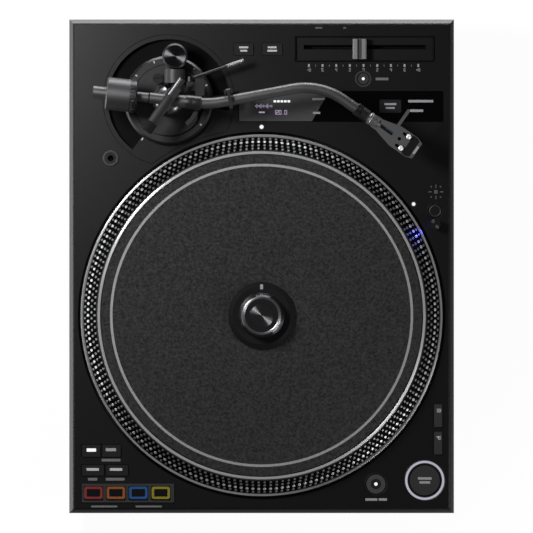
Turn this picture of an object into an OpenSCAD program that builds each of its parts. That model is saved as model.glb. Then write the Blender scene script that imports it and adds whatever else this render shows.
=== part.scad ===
// Direct drive turntable with an S-shaped tonearm, a tempo fader and a row of pads.
// Millimetres, +Z up, +Y towards the back. The origin is on the table under the middle of the plinth.

/* [Plinth] */
// Width of the plinth, left to right
plinth_w = 353; // [352:0.5:390]
// Depth of the plinth, front to back
plinth_d = 453; // [452:0.5:490]
// Height of the deck surface above the table
deck_h = 100; // [98:0.5:112]
// Height of the feet under the base chassis
foot_h = 27; // [24:0.5:28]
// Height of the base chassis
base_h = 25; // [22:0.5:26]
// Thickness of the cabinet walls
wall_t = 4; // [3:0.25:4.5]
// Thickness of the deck plate
deck_t = 4; // [3.5:0.25:4.5]
// Width of the chamfer round the deck
edge_chamfer = 4.8; // [2:0.2:6]
// How far the base chassis stands in from the cabinet sides
base_inset = 2; // [1:0.25:2.5]
// How far the socket panel stands in from the back of the cabinet
socket_inset = 14; // [12:0.5:18]
// Radius of a foot
foot_r = 28; // [22:0.5:32]
// Height of the soft pad of a foot
foot_pad_h = 9; // [6:0.5:12]
// Distance of a foot from the plinth sides
foot_edge = 52; // [48:1:60]

/* [Platter] */
// Distance from the back edge to the spindle
spindle_back = 271.5; // [271:0.5:275]
// Radius of the platter edge
platter_r = 166.2; // [160:0.2:166.6]
// Height of the platter lip above the deck
platter_rise = 19; // [17:0.5:20]
// Width of the flat flange at the foot of the platter rim
flange_w = 2.6; // [2:0.2:4]
// Width of the sloping strobe band
strobe_band_w = 12; // [9:0.5:14]
// Width of the bright lip round the slipmat
lip_w = 3.6; // [2.5:0.2:5]
// Thickness of the platter web
platter_web = 6; // [5:0.5:7]
// Depth of the platter well below the deck
well_depth = 12; // [11:0.5:13]
// Gap between the platter and the wall of its well
well_gap = 2.4; // [1.5:0.1:2.6]
// Thickness of the slipmat
slipmat_t = 2.6; // [1.5:0.1:3]
// Gap between the slipmat and the lip
slipmat_gap = 0.8; // [0.4:0.1:2]
// Radius of the spindle pin
pin_r = 3.6; // [3.5:0.05:3.7]
// Height of the spindle pin above the slipmat
pin_h = 11; // [8:0.5:14]
// Radius of the bearing shaft under the platter
shaft_r = 5; // [4.5:0.1:6]

/* [Record clamp] */
// Radius of the clamp disc
clamp_r = 30.6; // [26:0.2:40]
// Height of the clamp disc
clamp_disc_h = 6; // [4:0.5:8]
// Radius of the clamp knob at its foot
clamp_knob_r = 20.7; // [18:0.1:23]
// Height of the clamp knob
clamp_knob_h = 15; // [14:0.5:20]

/* [Arm base] */
// Distance from the left edge to the arm pivot
pivot_left = 91.2; // [88:0.2:92]
// Distance from the back edge to the arm pivot
pivot_back = 74.1; // [73:0.1:80]
// Radius of the arm well plate
arm_well_r = 60; // [59:0.2:61]
// Width of the groove round the arm well plate
arm_well_groove = 0.4; // [0.3:0.05:0.8]
// Outer radius of the recess in the arm well
arm_recess_r = 56; // [54:0.2:57]
// Depth of the recess in the arm well
arm_recess_h = 7; // [5:0.5:8]
// Outer radius of the height ring
height_ring_r = 40.7; // [39:0.1:42]
// Inner radius of the height ring
height_ring_bore = 33; // [32.9:0.1:35]
// Height of the height ring
height_ring_h = 14; // [12:0.5:15]
// Radius of the arm platform
platform_r = 32.5; // [31:0.1:32.6]
// Distance from the pivot to the flat side of the platform
platform_flat = 27; // [25:0.5:28]
// Height of the arm platform above the deck
platform_rise = 11; // [10.5:0.25:12]
// Radius of the platform stem that slides in the arm well
stem_r = 24; // [22:0.5:26]
// Radius of the anti-skate knob
skate_knob_r = 11.6; // [10:0.1:12]
// Radius of the lying anti-skate drum
skate_drum_r = 9.7; // [9:0.1:10]
// Radius of the height lock knob
height_lock_r = 4.9; // [4:0.1:5.2]
// Length of the cue lever from its hub
cue_length = 51.7; // [40:0.5:58]
// Heading of the cue lever in plan
cue_heading = 18.9; // [15:0.1:24]

/* [Tonearm] */
// Height of the arm axis above the deck
arm_rise = 44; // [43:0.25:46]
// Heading of the rear stretch of the arm
rear_heading = -6; // [-7:0.1:-5]
// Heading of the middle stretch of the arm
middle_heading = 10.5; // [9.5:0.1:11.5]
// Heading of the headshell
shell_heading = -34.9; // [-36:0.1:-34]
// Distance from the pivot to the first bend
first_reach = 38.2; // [37:0.1:40]
// Distance from the first bend to the second
middle_reach = 102.9; // [100:0.1:105]
// Distance from the second bend to the lock nut
nut_reach = 39.7; // [37:0.1:42]
// Radius of the first bend
first_bend_r = 85; // [70:1:95]
// Radius of the second bend
second_bend_r = 62; // [50:1:70]
// Outer radius of the arm tube
tube_r = 4.9; // [4.6:0.05:5]
// Wall thickness of the arm tube
tube_wall = 0.8; // [0.6:0.05:1.2]
// Radius of the arm collar
collar_r = 6.5; // [6.2:0.05:6.8]
// Heading of the gimbal yoke
yoke_heading = 54.5; // [53:0.1:56]
// Radius of the counterweight
weight_r = 15; // [13:0.2:16]
// Length of the counterweight without its force ring
weight_length = 22; // [20:0.5:24]
// Distance from the pivot to the front of the force ring
weight_front = 28.8; // [28:0.1:31]
// Length of the force ring
force_ring_length = 6.2; // [5:0.1:8]
// Radius of the headshell lock nut
nut_r = 5.85; // [5.7:0.05:6.4]
// Length of the headshell lock nut
nut_length = 13; // [11:0.2:13.6]
// Width of the headshell at its front
shell_w = 20.8; // [19:0.2:23]
// Thickness of the headshell plate
shell_t = 3.2; // [2.4:0.1:4]
// Distance from the lock nut to the front of the headshell
shell_front = 68.2; // [67:0.1:70]
// Spacing of the two cartridge screws
cartridge_pitch = 12.7; // [12:0.1:13.2]
// Height of the cartridge body
cartridge_h = 12.4; // [11:0.2:13]
// Height from the stylus tip to the slipmat at rest
tip_clear = 2.9; // [2:0.1:4]

/* [Controls] */
// How far a button stands above the deck
button_rise = 1.2; // [1:0.1:2]
// Travel of a button
button_travel = 0.8; // [0.5:0.1:1]
// Gap round a button
button_gap = 0.35; // [0.3:0.05:0.5]
// Length of the slot for the tempo knob
fader_slot_length = 111.8; // [108:0.2:114]
// Width of the slot for the tempo knob
fader_slot_w = 2.4; // [2:0.1:3]
// Length of the tempo fader panel
fader_panel_length = 127.9; // [124:0.1:132]
// Width of the tempo fader panel
fader_panel_w = 23.2; // [21:0.1:26]
// Height of the tempo knob above its panel
tempo_knob_h = 9; // [7:0.5:12]
// Radius of the start button
start_r = 13.7; // [12:0.1:14.5]
// Inner radius of the lit ring round the start button
start_ring_inner = 15.4; // [15:0.1:16]
// Outer radius of the lit ring round the start button
start_ring_r = 18.9; // [17:0.1:19.2]
// Radius of the strobe lamp tower
strobe_lamp_r = 5; // [4:0.1:5.4]

/* [Hidden] */
$fn = 64;

// Clearances shared by the pieces that fit together
run_fit = 0.05;
seat_gap = 0.3;
over = 1;

// Heights of the main levels
cabinet_z = foot_h + base_h;
deck_under = deck_h - deck_t;
well_floor_t = 4;
well_wall = 3;
well_z = deck_h - well_depth;
well_r = platter_r + well_gap;
well_shell_r = well_r + well_wall;
lip_z = deck_h + platter_rise;
mat_bed_drop = 2;
mat_bed_z = lip_z - mat_bed_drop;
web_under = mat_bed_z - platter_web;
mat_top = mat_bed_z + slipmat_t;
arm_z = deck_h + arm_rise;
recess_z = deck_h - arm_recess_h;
platform_z = deck_h + platform_rise;
ring_z = recess_z + seat_gap;
ring_top = ring_z + height_ring_h;

// Places, measured from the plinth edges as seen from above
function from_left(distance) = distance - plinth_w / 2;
function from_right(distance) = plinth_w / 2 - distance;
function from_back(distance) = plinth_d / 2 - distance;
function from_front(distance) = distance - plinth_d / 2;
spindle = [0, from_back(spindle_back)];
pivot = [from_left(pivot_left), from_back(pivot_back)];

// Buttons: centre and size of each, in the order of their names
key_buttons = [
    [from_left(160.1), from_back(27.3), 17.8, 11],
    [from_left(186.2), from_back(27.3), 18.5, 11]
];
mode_place = [from_right(58.4), from_back(79.6), 20, 12];
speed_buttons = [
    [from_right(14.5), from_front(89.4), 7.5, 20.9],
    [from_right(14.5), from_front(64.3), 7.5, 20.9]
];
function_buttons = [
    [from_left(20.1), from_front(57.2), 16.9, 11.2],
    [from_left(38.8), from_front(57.2), 16.9, 11.2],
    [from_left(21.8), from_front(39.3), 20.2, 9.8],
    [from_left(43.9), from_front(39.3), 20.2, 9.8]
];
pad_first = 22.2;
pad_pitch = 20.6;
pad_front = 18.3;
pad_size = [17, 12];
pads = [
    for (i = [0:3])
        [from_left(pad_first + i * pad_pitch), from_front(pad_front), pad_size[0], pad_size[1]]
];
start_place = [from_right(26.8), from_front(30.1)];
motor_off_place = [from_right(71.6), from_front(26.7), 8.7];
reset_place = [from_right(83.2), from_back(54.4), 5];
strobe_gap = 8.2;
strobe_heading = 27.75;
strobe_place = spindle + (well_shell_r + strobe_gap) * heading(strobe_heading);
lamp_pitch = 12.2;
lamp_r = 6;
lamp_place = [strobe_place.x, strobe_place.y + lamp_pitch, lamp_r];
marker_gap = 4.3;
marker_r = 2.6;
markers = [for (angle = [90, 36.2]) spindle + (well_r + marker_gap) * heading(angle)];
socket_boss = [from_left(37.9), from_back(127.3)];
fader_place = [from_right(81.8), from_back(27.1)];
tempo_offset = -4.8;
display_d = 27.8;
display_gap = 3.95;
display_edge = 9.95;
display_left = pivot.x + arm_well_r + arm_well_groove + display_gap;
display_w = from_right(display_edge) - display_left;
display_place = [display_left + display_w / 2, from_back(79.8)];
square_buttons = concat(key_buttons, [mode_place], speed_buttons, function_buttons, pads);
round_buttons = [[start_place.x, start_place.y, start_r], motor_off_place, reset_place, lamp_place];

// Depths under the deck
button_flange = 0.7;
button_flange_t = 2;
button_foot = deck_under - seat_gap - button_flange_t;
board_drop = 18;
board_top = deck_h - board_drop;
board_t = 1.6;
panel_recess = 1;
window_t = 2;
guide_t = 2.6;

// A plate with round corners
module round_plate(w, d, h, corner) {
    linear_extrude(h) {
        square([w - 2 * corner, d], center = true);
        square([w, d - 2 * corner], center = true);
        for (x = [-1, 1], y = [-1, 1])
            translate([x * (w / 2 - corner), y * (d / 2 - corner)])
                circle(r = corner);
    }
}

// A ring that stands on its lower face
module ring(outer, inner, h) {
    linear_extrude(h) difference() {
        circle(r = outer);
        circle(r = inner);
    }
}

// A cylinder that lies along +X from the start
module bar(start, r, length) {
    translate([start, 0, 0]) rotate([0, 90, 0]) cylinder(r = r, h = length);
}

// Moves the children onto the spindle, the arm pivot, or the gimbal axis
module at_spindle(z) {
    translate([spindle.x, spindle.y, z]) children();
}

module at_pivot(z) {
    translate([pivot.x, pivot.y, z]) children();
}

module at_yoke(z) {
    at_pivot(z) rotate([0, 0, yoke_heading]) children();
}

// Outline of the cabinet across one span, with both top edges chamfered
module edge_outline(span) {
    polygon([
        [-span / 2, cabinet_z], [span / 2, cabinet_z],
        [span / 2, deck_h - edge_chamfer], [span / 2 - edge_chamfer, deck_h],
        [edge_chamfer - span / 2, deck_h], [-span / 2, deck_h - edge_chamfer]
    ]);
}

module cabinet_block() {
    intersection() {
        translate([0, plinth_d / 2, 0]) rotate([90, 0, 0])
            linear_extrude(plinth_d) edge_outline(plinth_w);
        translate([-plinth_w / 2, 0, 0]) rotate([90, 0, 90])
            linear_extrude(plinth_w) edge_outline(plinth_d);
    }
}

// Screw posts join the cabinet to the base chassis
screw_r = 2;
screw_head_r = 4;
screw_head_h = 2.4;
screw_post_r = 6;
screw_post_h = 18;
screw_bite = 14;
screw_edge = 15;
screw_front = 26;
screw_back = 33;
screw_row_count = 4;
screw_pitch = (plinth_d - screw_front - screw_back) / (screw_row_count - 1);
screw_rows = [for (i = [0:screw_row_count - 1]) screw_front + i * screw_pitch];
screw_x = plinth_w / 2 - screw_edge;
screw_places = [for (side = [-1, 1], row = screw_rows) [side * screw_x, from_front(row)]];

module at_screws(z) {
    for (place = screw_places)
        translate([place.x, place.y, z]) children();
}

// The arm well plate stops short of the shell of the platter well
module beside_platter(r, h, shell_gap) {
    difference() {
        at_pivot(0) cylinder(r = r, h = h);
        at_spindle(-over) cylinder(r = well_shell_r + shell_gap, h = h + 2 * over);
    }
}

module button_holes() {
    hole_h = deck_t + 2 * over;
    for (b = square_buttons)
        translate([b[0], b[1], deck_under - over])
            round_plate(
                b[2] + 2 * button_gap, b[3] + 2 * button_gap, hole_h, button_corner + button_gap
            );
    for (b = round_buttons)
        translate([b[0], b[1], deck_under - over]) cylinder(r = b[2] + button_gap, h = hole_h);
}

// Shallow recesses behind the function buttons and the pads
function_panels = [
    [from_left(29.45), from_front(57.2), 37.5, 12.1],
    [from_left(32.85), from_front(39.3), 44.3, 10.6],
    [from_left(54.2), from_front(17.3), 87, 19.2]
];
panel_corner = 1.2;
button_corner = 1;

module deck_recesses() {
    for (p = function_panels)
        translate([p[0], p[1], deck_h - panel_recess])
            round_plate(p[2], p[3], panel_recess + over, panel_corner);
    translate([display_place.x, display_place.y, deck_h - window_t])
        round_plate(
            display_w + 2 * seat_gap, display_d + 2 * seat_gap, window_t + over, panel_corner
        );
    translate([fader_place.x, fader_place.y, deck_under - over])
        round_plate(
            fader_panel_length + 2 * seat_gap, fader_panel_w + 2 * seat_gap,
            deck_t + 2 * over, panel_corner
        );
    for (m = markers)
        translate([m.x, m.y, deck_h - guide_t]) cylinder(r = marker_r, h = guide_t + over);
    translate([start_place.x, start_place.y, deck_h - guide_t])
        ring(start_ring_r, start_ring_inner, guide_t + over);
    translate([strobe_place.x, strobe_place.y, deck_h - guide_t])
        cylinder(r = strobe_lamp_r, h = guide_t + over);
}

socket_boss_r = 6.9;
socket_boss_h = 0.8;
socket_bore_r = 2.8;
socket_bore_h = 14;
socket_boss_drop = 12;

// Pressed steel deck and sides with the platter well and every opening in the deck
module top_cabinet() {
    web_length = screw_edge - wall_t / 2;
    color("#232325") difference() {
        union() {
            difference() {
                cabinet_block();
                translate([-plinth_w / 2 + wall_t, -plinth_d / 2 + wall_t, cabinet_z - over])
                    cube([plinth_w - 2 * wall_t, plinth_d - 2 * wall_t, deck_under - cabinet_z + over]);
            }
            at_spindle(well_z - well_floor_t)
                cylinder(r = well_shell_r, h = well_depth + well_floor_t - deck_t / 2);
            at_screws(cabinet_z) cylinder(r = screw_post_r, h = screw_post_h);
            for (place = screw_places)
                translate([place.x + sign(place.x) * web_length / 2, place.y, cabinet_z + screw_post_h / 2])
                    cube([web_length, screw_post_r, screw_post_h], center = true);
            translate([socket_boss.x, socket_boss.y, deck_under - socket_boss_drop])
                cylinder(r = socket_boss_r, h = socket_boss_drop + deck_t + socket_boss_h);
        }
        at_spindle(well_z) cylinder(r = well_r, h = well_depth + over);
        at_spindle(well_z - well_floor_t - over) cylinder(r = housing_r, h = well_floor_t + 2 * over);
        translate([0, 0, deck_under - over])
            beside_platter(arm_well_r + arm_well_groove, deck_t + 2 * over, 0);
        at_screws(cabinet_z - over) cylinder(r = screw_r + run_fit, h = screw_bite + 2 * over);
        translate([socket_boss.x, socket_boss.y, deck_h + socket_boss_h - socket_bore_h])
            cylinder(r = socket_bore_r, h = socket_bore_h + over);
        button_holes();
        deck_recesses();
    }
}

base_floor = 5;
base_wall = 8;
base_rim = 5;
base_w = plinth_w - 2 * base_inset;
base_d = plinth_d - 2 * base_inset;
tray_d = base_d - socket_inset + base_inset;
tray_back = plinth_d / 2 - socket_inset;
foot_stud_r = 5;
foot_stud_h = 4;

module at_feet(z) {
    for (x = [-1, 1], y = [-1, 1])
        translate([x * (plinth_w / 2 - foot_edge), y * (plinth_d / 2 - foot_edge), z]) children();
}

// Heavy moulded tray under the cabinet, stepped in at the back for the sockets
module base_chassis() {
    color("#1a1a1a") difference() {
        union() {
            difference() {
                union() {
                    translate([-base_w / 2, -base_d / 2, cabinet_z - base_rim])
                        cube([base_w, base_d, base_rim]);
                    translate([-base_w / 2, -base_d / 2, foot_h])
                        cube([base_w, tray_d, base_h]);
                }
                translate([base_wall - base_w / 2, base_wall - base_d / 2, foot_h + base_floor])
                    cube([base_w - 2 * base_wall, tray_d - 2 * base_wall, base_h]);
            }
            at_screws(foot_h) cylinder(r = screw_post_r, h = base_h);
        }
        at_screws(foot_h - over) cylinder(r = screw_r + run_fit, h = base_h + 2 * over);
        at_feet(foot_h - over) cylinder(r = foot_stud_r + run_fit, h = base_floor + 2 * over);
        socket_holes();
    }
}

// Turned cup of each levelling foot, with its threaded stud
foot_waist = 4;
foot_cup_lip = 3;

module foot_cups() {
    color("#3a3a3c") at_feet(0) rotate_extrude() polygon([
        [0, foot_pad_h], [foot_r, foot_pad_h], [foot_r, foot_h - foot_cup_lip],
        [foot_r - foot_waist, foot_h], [foot_stud_r, foot_h], [foot_stud_r, foot_h + foot_stud_h],
        [0, foot_h + foot_stud_h]
    ]);
}

// Soft pad under each foot
pad_edge = 2;

module foot_pads() {
    color("#121212") at_feet(0) rotate_extrude() polygon([
        [0, 0], [foot_r - pad_edge, 0], [foot_r, pad_edge], [foot_r, foot_pad_h], [0, foot_pad_h]
    ]);
}

// Screws that hold the base chassis to the cabinet
module case_screws() {
    color("#55575a") at_screws(foot_h) {
        translate([0, 0, -screw_head_h]) cylinder(r = screw_head_r, h = screw_head_h);
        cylinder(r = screw_r, h = base_h + screw_bite);
    }
}

// Sockets in the stepped back of the base chassis, seen from above: place and kind of each
jack_places = [from_left(130.5), from_left(146.5), from_left(168.5), from_left(184.5)];
ground_place = from_left(202.5);
usb_places = [from_left(228.9), from_left(252.8)];
usb_sizes = [[12.4, 11.2], [13.4, 7]];
inlet_place = from_left(100.5);
inlet_size = [24, 13];
switch_place = from_left(70.5);
switch_size = [21, 14];
socket_drop = 1;
socket_z = foot_h + base_h / 2 - socket_drop;
jack_r = 4.2;
jack_bore_r = 1.7;
jack_flange_r = 6;
jack_flange_t = 2;
jack_length = 9;
ground_r = 3;
ground_nut_r = 5;
socket_depth = 6;

// Moves the children to the socket panel, with +Z pointing out of the back
module at_back(x) {
    translate([x, tray_back, socket_z]) rotate([-90, 0, 0]) children();
}

module socket_block(size, depth, rise) {
    translate([-size[0] / 2, -size[1] / 2, -depth]) cube([size[0], size[1], depth + rise]);
}

module panel_bore(x, r) {
    at_back(x) translate([0, 0, -base_wall - over])
        cylinder(r = r + run_fit, h = base_wall + 2 * over);
}

module socket_holes() {
    for (x = jack_places)
        panel_bore(x, jack_r);
    panel_bore(ground_place, ground_r);
    for (i = [0:1])
        at_back(usb_places[i]) socket_block(usb_sizes[i], base_wall + over, over);
    at_back(inlet_place) socket_block(inlet_size, base_wall + over, over);
    at_back(switch_place) socket_block(switch_size, base_wall + over, over);
}

// Phono jacks, ground post, data ports and mains inlet
socket_rim = 1.6;
socket_lip = 1.2;

module rear_sockets() {
    color("#8e9094") {
        for (x = jack_places)
            at_back(x) difference() {
                union() {
                    translate([0, 0, -base_wall]) cylinder(r = jack_r, h = base_wall + jack_length);
                    cylinder(r = jack_flange_r, h = jack_flange_t);
                }
                cylinder(r = jack_bore_r, h = jack_length + over);
            }
        at_back(ground_place) {
            translate([0, 0, -base_wall]) cylinder(r = ground_r, h = base_wall + jack_length);
            translate([0, 0, jack_flange_t]) cylinder(r = ground_nut_r, h = socket_depth, $fn = 6);
        }
        for (i = [0:1])
            at_back(usb_places[i]) port(usb_sizes[i]);
        at_back(inlet_place) port(inlet_size);
    }
}

// A port with a lip outside the panel and a hollow mouth
module port(size) {
    difference() {
        union() {
            socket_block(size, base_wall, 0);
            socket_block(size + 2 * [socket_rim, socket_rim], 0, socket_lip);
        }
        translate([0, 0, socket_lip])
            socket_block(size - 2 * [socket_lip, socket_lip], socket_depth + socket_lip, over);
    }
}

// Rocker switch for the mains, turning on a pin across its frame
rocker_r = 12;
rocker_gap = 0.4;
rocker_swing_gap = 1.3;
rocker_rise = 3;

module power_switch() {
    rocker_w = switch_size[0] - 2 * rocker_swing_gap;
    rocker_h = switch_size[1] - 2 * rocker_gap;
    color("#2c2c2e") at_back(switch_place) intersection() {
        socket_block([rocker_w, rocker_h], base_wall / 2, rocker_rise);
        translate([0, rocker_h / 2, rocker_rise - rocker_r]) rotate([90, 0, 0])
            cylinder(r = rocker_r, h = rocker_h);
    }
}

// Control boards under the deck: edges of each, and the posts that hang them
boards = [
    [from_left(8), from_front(7), from_left(100), from_front(66)],
    [from_right(84), from_front(7), from_right(7), from_front(102)],
    [from_left(153), from_back(96), from_right(7), from_back(7)],
    [from_right(26), from_back(192), from_right(7), from_back(150)]
];
board_posts = [
    [from_left(32), from_front(48)], [from_left(27), from_front(8)], [from_left(86), from_front(8)],
    [from_right(52), from_front(11)], [from_right(8.5), from_front(48.5)],
    [from_left(173), from_back(12)], [from_right(116), from_back(54)], [from_right(16), from_back(50)],
    [from_right(8.5), from_back(152)]
];
post_r = 2.2;
switch_w = 6;
switch_top = button_foot - button_travel - seat_gap;
main_board = [from_left(116), from_back(166), 140, 120];
main_board_stand = 6;
main_board_z = foot_h + base_floor + main_board_stand;
supply_size = [50, 80, 28];

module circuit_boards() {
    color("#1d4d33") {
        for (b = boards)
            translate([b[0], b[1], board_top - board_t]) cube([b[2] - b[0], b[3] - b[1], board_t]);
        for (p = board_posts)
            translate([p.x, p.y, board_top]) cylinder(r = post_r, h = deck_under - board_top);
        for (b = concat(square_buttons, round_buttons))
            translate([b[0] - switch_w / 2, b[1] - switch_w / 2, board_top])
                cube([switch_w, switch_w, switch_top - board_top]);
        translate([main_board[0], main_board[1], main_board_z])
            cube([main_board[2], main_board[3], board_t]);
        for (x = [0, 1], y = [0, 1])
            translate([
                main_board[0] + 2 * post_r + x * (main_board[2] - 4 * post_r),
                main_board[1] + 2 * post_r + y * (main_board[3] - 4 * post_r), foot_h + base_floor
            ]) cylinder(r = post_r, h = main_board_stand);
        translate([main_board[0], main_board[1] + post_r, main_board_z + board_t]) cube(supply_size);
    }
}

// Bearing housing through the floor of the well
housing_r = 13;
housing_flange_r = 24;
housing_flange_t = 3;
housing_top = 9;
housing_drop = 34;
thrust_t = 4;

module bearing_housing() {
    color("#b8b4a8") at_spindle(well_z) difference() {
        union() {
            cylinder(r = housing_flange_r, h = housing_flange_t);
            translate([0, 0, -housing_drop])
                cylinder(r = housing_r - run_fit, h = housing_drop + housing_top);
        }
        translate([0, 0, thrust_t - housing_drop])
            cylinder(r = shaft_r + run_fit, h = housing_drop + housing_top);
    }
}

// Stator board with a ring of flat coils
stator_r = 70;
coil_count = 12;
coil_r = 11;
coil_core_r = 4;
coil_h = 6;
coil_circle_r = 48;

module motor_stator() {
    color("#9c5a2e") at_spindle(well_z) {
        ring(stator_r, housing_flange_r + seat_gap, board_t);
        for (i = [0:coil_count - 1])
            rotate([0, 0, i * 360 / coil_count])
                translate([coil_circle_r, 0, board_t]) ring(coil_r, coil_core_r, coil_h);
    }
}

// Magnet ring under the platter, above the coils
magnet_h = 7;
magnet_r = 62;
magnet_bore = 34;
magnet_boss = 2;
magnet_boss_h = 7;
magnet_z = web_under - magnet_boss_h - magnet_h;

module rotor_magnet() {
    color("#4a4642") at_spindle(magnet_z) ring(magnet_r, magnet_bore, magnet_h);
}

// Cast platter with a hollow underside and a sloping strobe band
hub_r = 18;
hub_h = 12;
band_foot_r = platter_r - flange_w;
band_top_r = band_foot_r - strobe_band_w;
lip_bore = band_top_r - lip_w;
rim_web = 5;
rim_clear = 5;
rim_foot_z = well_z + rim_clear;
flange_rise = 4.2;
flange_z = deck_h + flange_rise;
flange_round = 0.8;
band_step = 0.6;
seat_rise = 1;
seat_z = web_under + seat_rise;

module platter() {
    color("#8d8f92") at_spindle(0) rotate_extrude($fn = 180) polygon([
        [shaft_r + run_fit, web_under - hub_h], [hub_r, web_under - hub_h], [hub_r, web_under],
        [magnet_bore - magnet_boss, web_under], [magnet_bore - magnet_boss, magnet_z + magnet_h],
        [magnet_r + magnet_boss, magnet_z + magnet_h], [magnet_r + magnet_boss, web_under],
        [lip_bore - rim_web, web_under], [lip_bore - rim_web, rim_foot_z], [platter_r, rim_foot_z],
        [platter_r, flange_z - flange_round], [platter_r - flange_round, flange_z], [band_foot_r, flange_z],
        [band_foot_r, flange_z + band_step], [band_top_r, lip_z - band_step], [band_top_r, lip_z],
        [lip_bore, lip_z], [lip_bore, mat_bed_z], [pin_r + run_fit, mat_bed_z], [pin_r + run_fit, seat_z],
        [shaft_r + run_fit, seat_z]
    ]);
}

// Felt slipmat
module slipmat() {
    color("#303032") at_spindle(mat_bed_z) ring(lip_bore - slipmat_gap, pin_r + seat_gap, slipmat_t);
}

// Steel spindle: bearing shaft, seat and centre pin with a round top
pin_round = 1.2;
shaft_foot = well_z - housing_drop + thrust_t + run_fit;

module spindle() {
    color("#c9cacc") at_spindle(0) rotate_extrude() polygon([
        [0, shaft_foot], [shaft_r, shaft_foot], [shaft_r, seat_z - run_fit], [pin_r, seat_z - run_fit],
        [pin_r, mat_top + pin_h - pin_round], [pin_r - pin_round, mat_top + pin_h], [0, mat_top + pin_h]
    ]);
}

// Record clamp: a bevelled disc that lies on the slipmat, and its knob
clamp_z = mat_top + run_fit;
clamp_edge_h = 2.8;
clamp_bevel = 4;
cap_foot_h = 1.4;
cap_taper = 2.3;
cap_ring_w = 1.9;
cap_round = 0.6;
cap_dish = 1;

module clamp_disc() {
    color("#1e1e20") at_spindle(clamp_z) rotate_extrude() polygon([
        [pin_r + seat_gap, 0], [clamp_r, 0], [clamp_r, clamp_edge_h], [clamp_r - clamp_bevel, clamp_disc_h],
        [pin_r + seat_gap, clamp_disc_h]
    ]);
}

module clamp_cap() {
    cap_top_r = clamp_knob_r - cap_taper;
    color("#3c3c40") at_spindle(clamp_z + clamp_disc_h) rotate_extrude() polygon([
        [pin_r + seat_gap, 0], [clamp_knob_r, 0], [clamp_knob_r, cap_foot_h],
        [cap_top_r, clamp_knob_h - cap_round], [cap_top_r - cap_round, clamp_knob_h],
        [cap_top_r - cap_round - cap_ring_w, clamp_knob_h],
        [cap_top_r - 2 * cap_round - cap_ring_w, clamp_knob_h - cap_dish], [0, clamp_knob_h - cap_dish],
        [0, pin_h - clamp_disc_h + seat_gap], [pin_r + seat_gap, pin_h - clamp_disc_h + seat_gap]
    ]);
}

// Tempo fader: a sunken panel with a slot, and the body that holds the track
fader_sink = 2;
fader_panel_z = deck_h - fader_sink;
fader_panel_t = 2;
fader_body_end = 1.95;
fader_body = [fader_panel_length - 2 * fader_body_end, 14, 11];
fader_flange = 3;
track_z = deck_under - fader_body[2] + fader_panel_t;

module at_fader(z) {
    translate([fader_place.x, fader_place.y, z]) children();
}

module fader_unit() {
    color("#2a2a2c") at_fader(0) difference() {
        union() {
            translate([0, 0, fader_panel_z - fader_panel_t])
                round_plate(fader_panel_length, fader_panel_w, fader_panel_t, panel_corner);
            translate([0, 0, deck_under - fader_flange])
                round_plate(
                    fader_panel_length + 4 * fader_flange, fader_panel_w + fader_flange,
                    fader_flange, panel_corner
                );
            translate([-fader_body[0] / 2, -fader_body[1] / 2, deck_under - fader_body[2]])
                cube(fader_body);
        }
        translate([-fader_slot_length / 2, slot_shift - fader_slot_w / 2, track_z])
            cube([fader_slot_length, fader_slot_w, fader_body[2] + deck_t + over]);
    }
}

// Tempo knob with a grooved top, on a blade that runs in the slot
slot_shift = 1.7;
tempo_knob_w = 12.6;
tempo_knob_d = 18.5;
tempo_groove_w = 4.2;
tempo_groove_d = 2;
tempo_blade = 6;
tempo_slope = 1;

module tempo_knob() {
    side = tempo_knob_w / 2;
    knob_z = fader_panel_z + seat_gap;
    blade_z = track_z + seat_gap;
    groove_z = knob_z + tempo_knob_h - tempo_groove_d;
    color("#a8a9ab") at_fader(0) translate([tempo_offset, 0, 0]) {
        difference() {
            translate([0, tempo_knob_d / 2, knob_z]) rotate([90, 0, 0])
                linear_extrude(tempo_knob_d) polygon([
                [-side, 0], [side, 0], [side, tempo_knob_h - tempo_slope],
                [side - tempo_slope, tempo_knob_h], [tempo_slope - side, tempo_knob_h],
                [-side, tempo_knob_h - tempo_slope]
            ]);
            translate([-tempo_groove_w / 2, -tempo_knob_d / 2 - over, groove_z])
                cube([tempo_groove_w, tempo_knob_d + 2 * over, tempo_groove_d + over]);
        }
        translate([-tempo_blade / 2, slot_shift - fader_slot_w / 2 + seat_gap, blade_z])
            cube([tempo_blade, fader_slot_w - 2 * seat_gap, knob_z - blade_z + over]);
    }
}

// Gloss window over the display, with a hole for the mode button
module display_window() {
    color("#0b0b0d") difference() {
        translate([display_place.x, display_place.y, deck_h - window_t])
            round_plate(display_w, display_d, window_t, panel_corner);
        translate([mode_place[0], mode_place[1], deck_h - window_t - over])
            round_plate(
                mode_place[2] + 2 * button_gap, mode_place[3] + 2 * button_gap,
                window_t + 2 * over, button_corner
            );
    }
}

// Clear guides of the lit start ring and the two marker lamps
guide_rise = 0.5;

module light_guides() {
    color("#e8e8f4") {
        translate([start_place.x, start_place.y, deck_h - guide_t])
            ring(start_ring_r - run_fit, start_ring_inner + run_fit, guide_t + guide_rise);
        for (m = markers)
            translate([m.x, m.y, deck_h - guide_t])
                cylinder(r = marker_r - run_fit, h = guide_t + guide_rise);
    }
}

// Lamp tower beside the platter that lights the strobe band
strobe_lamp_h = 11;
strobe_cap_h = 2.4;
strobe_cap_lip = 0.8;
strobe_mouth = [6, 4.4, 5];

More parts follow.
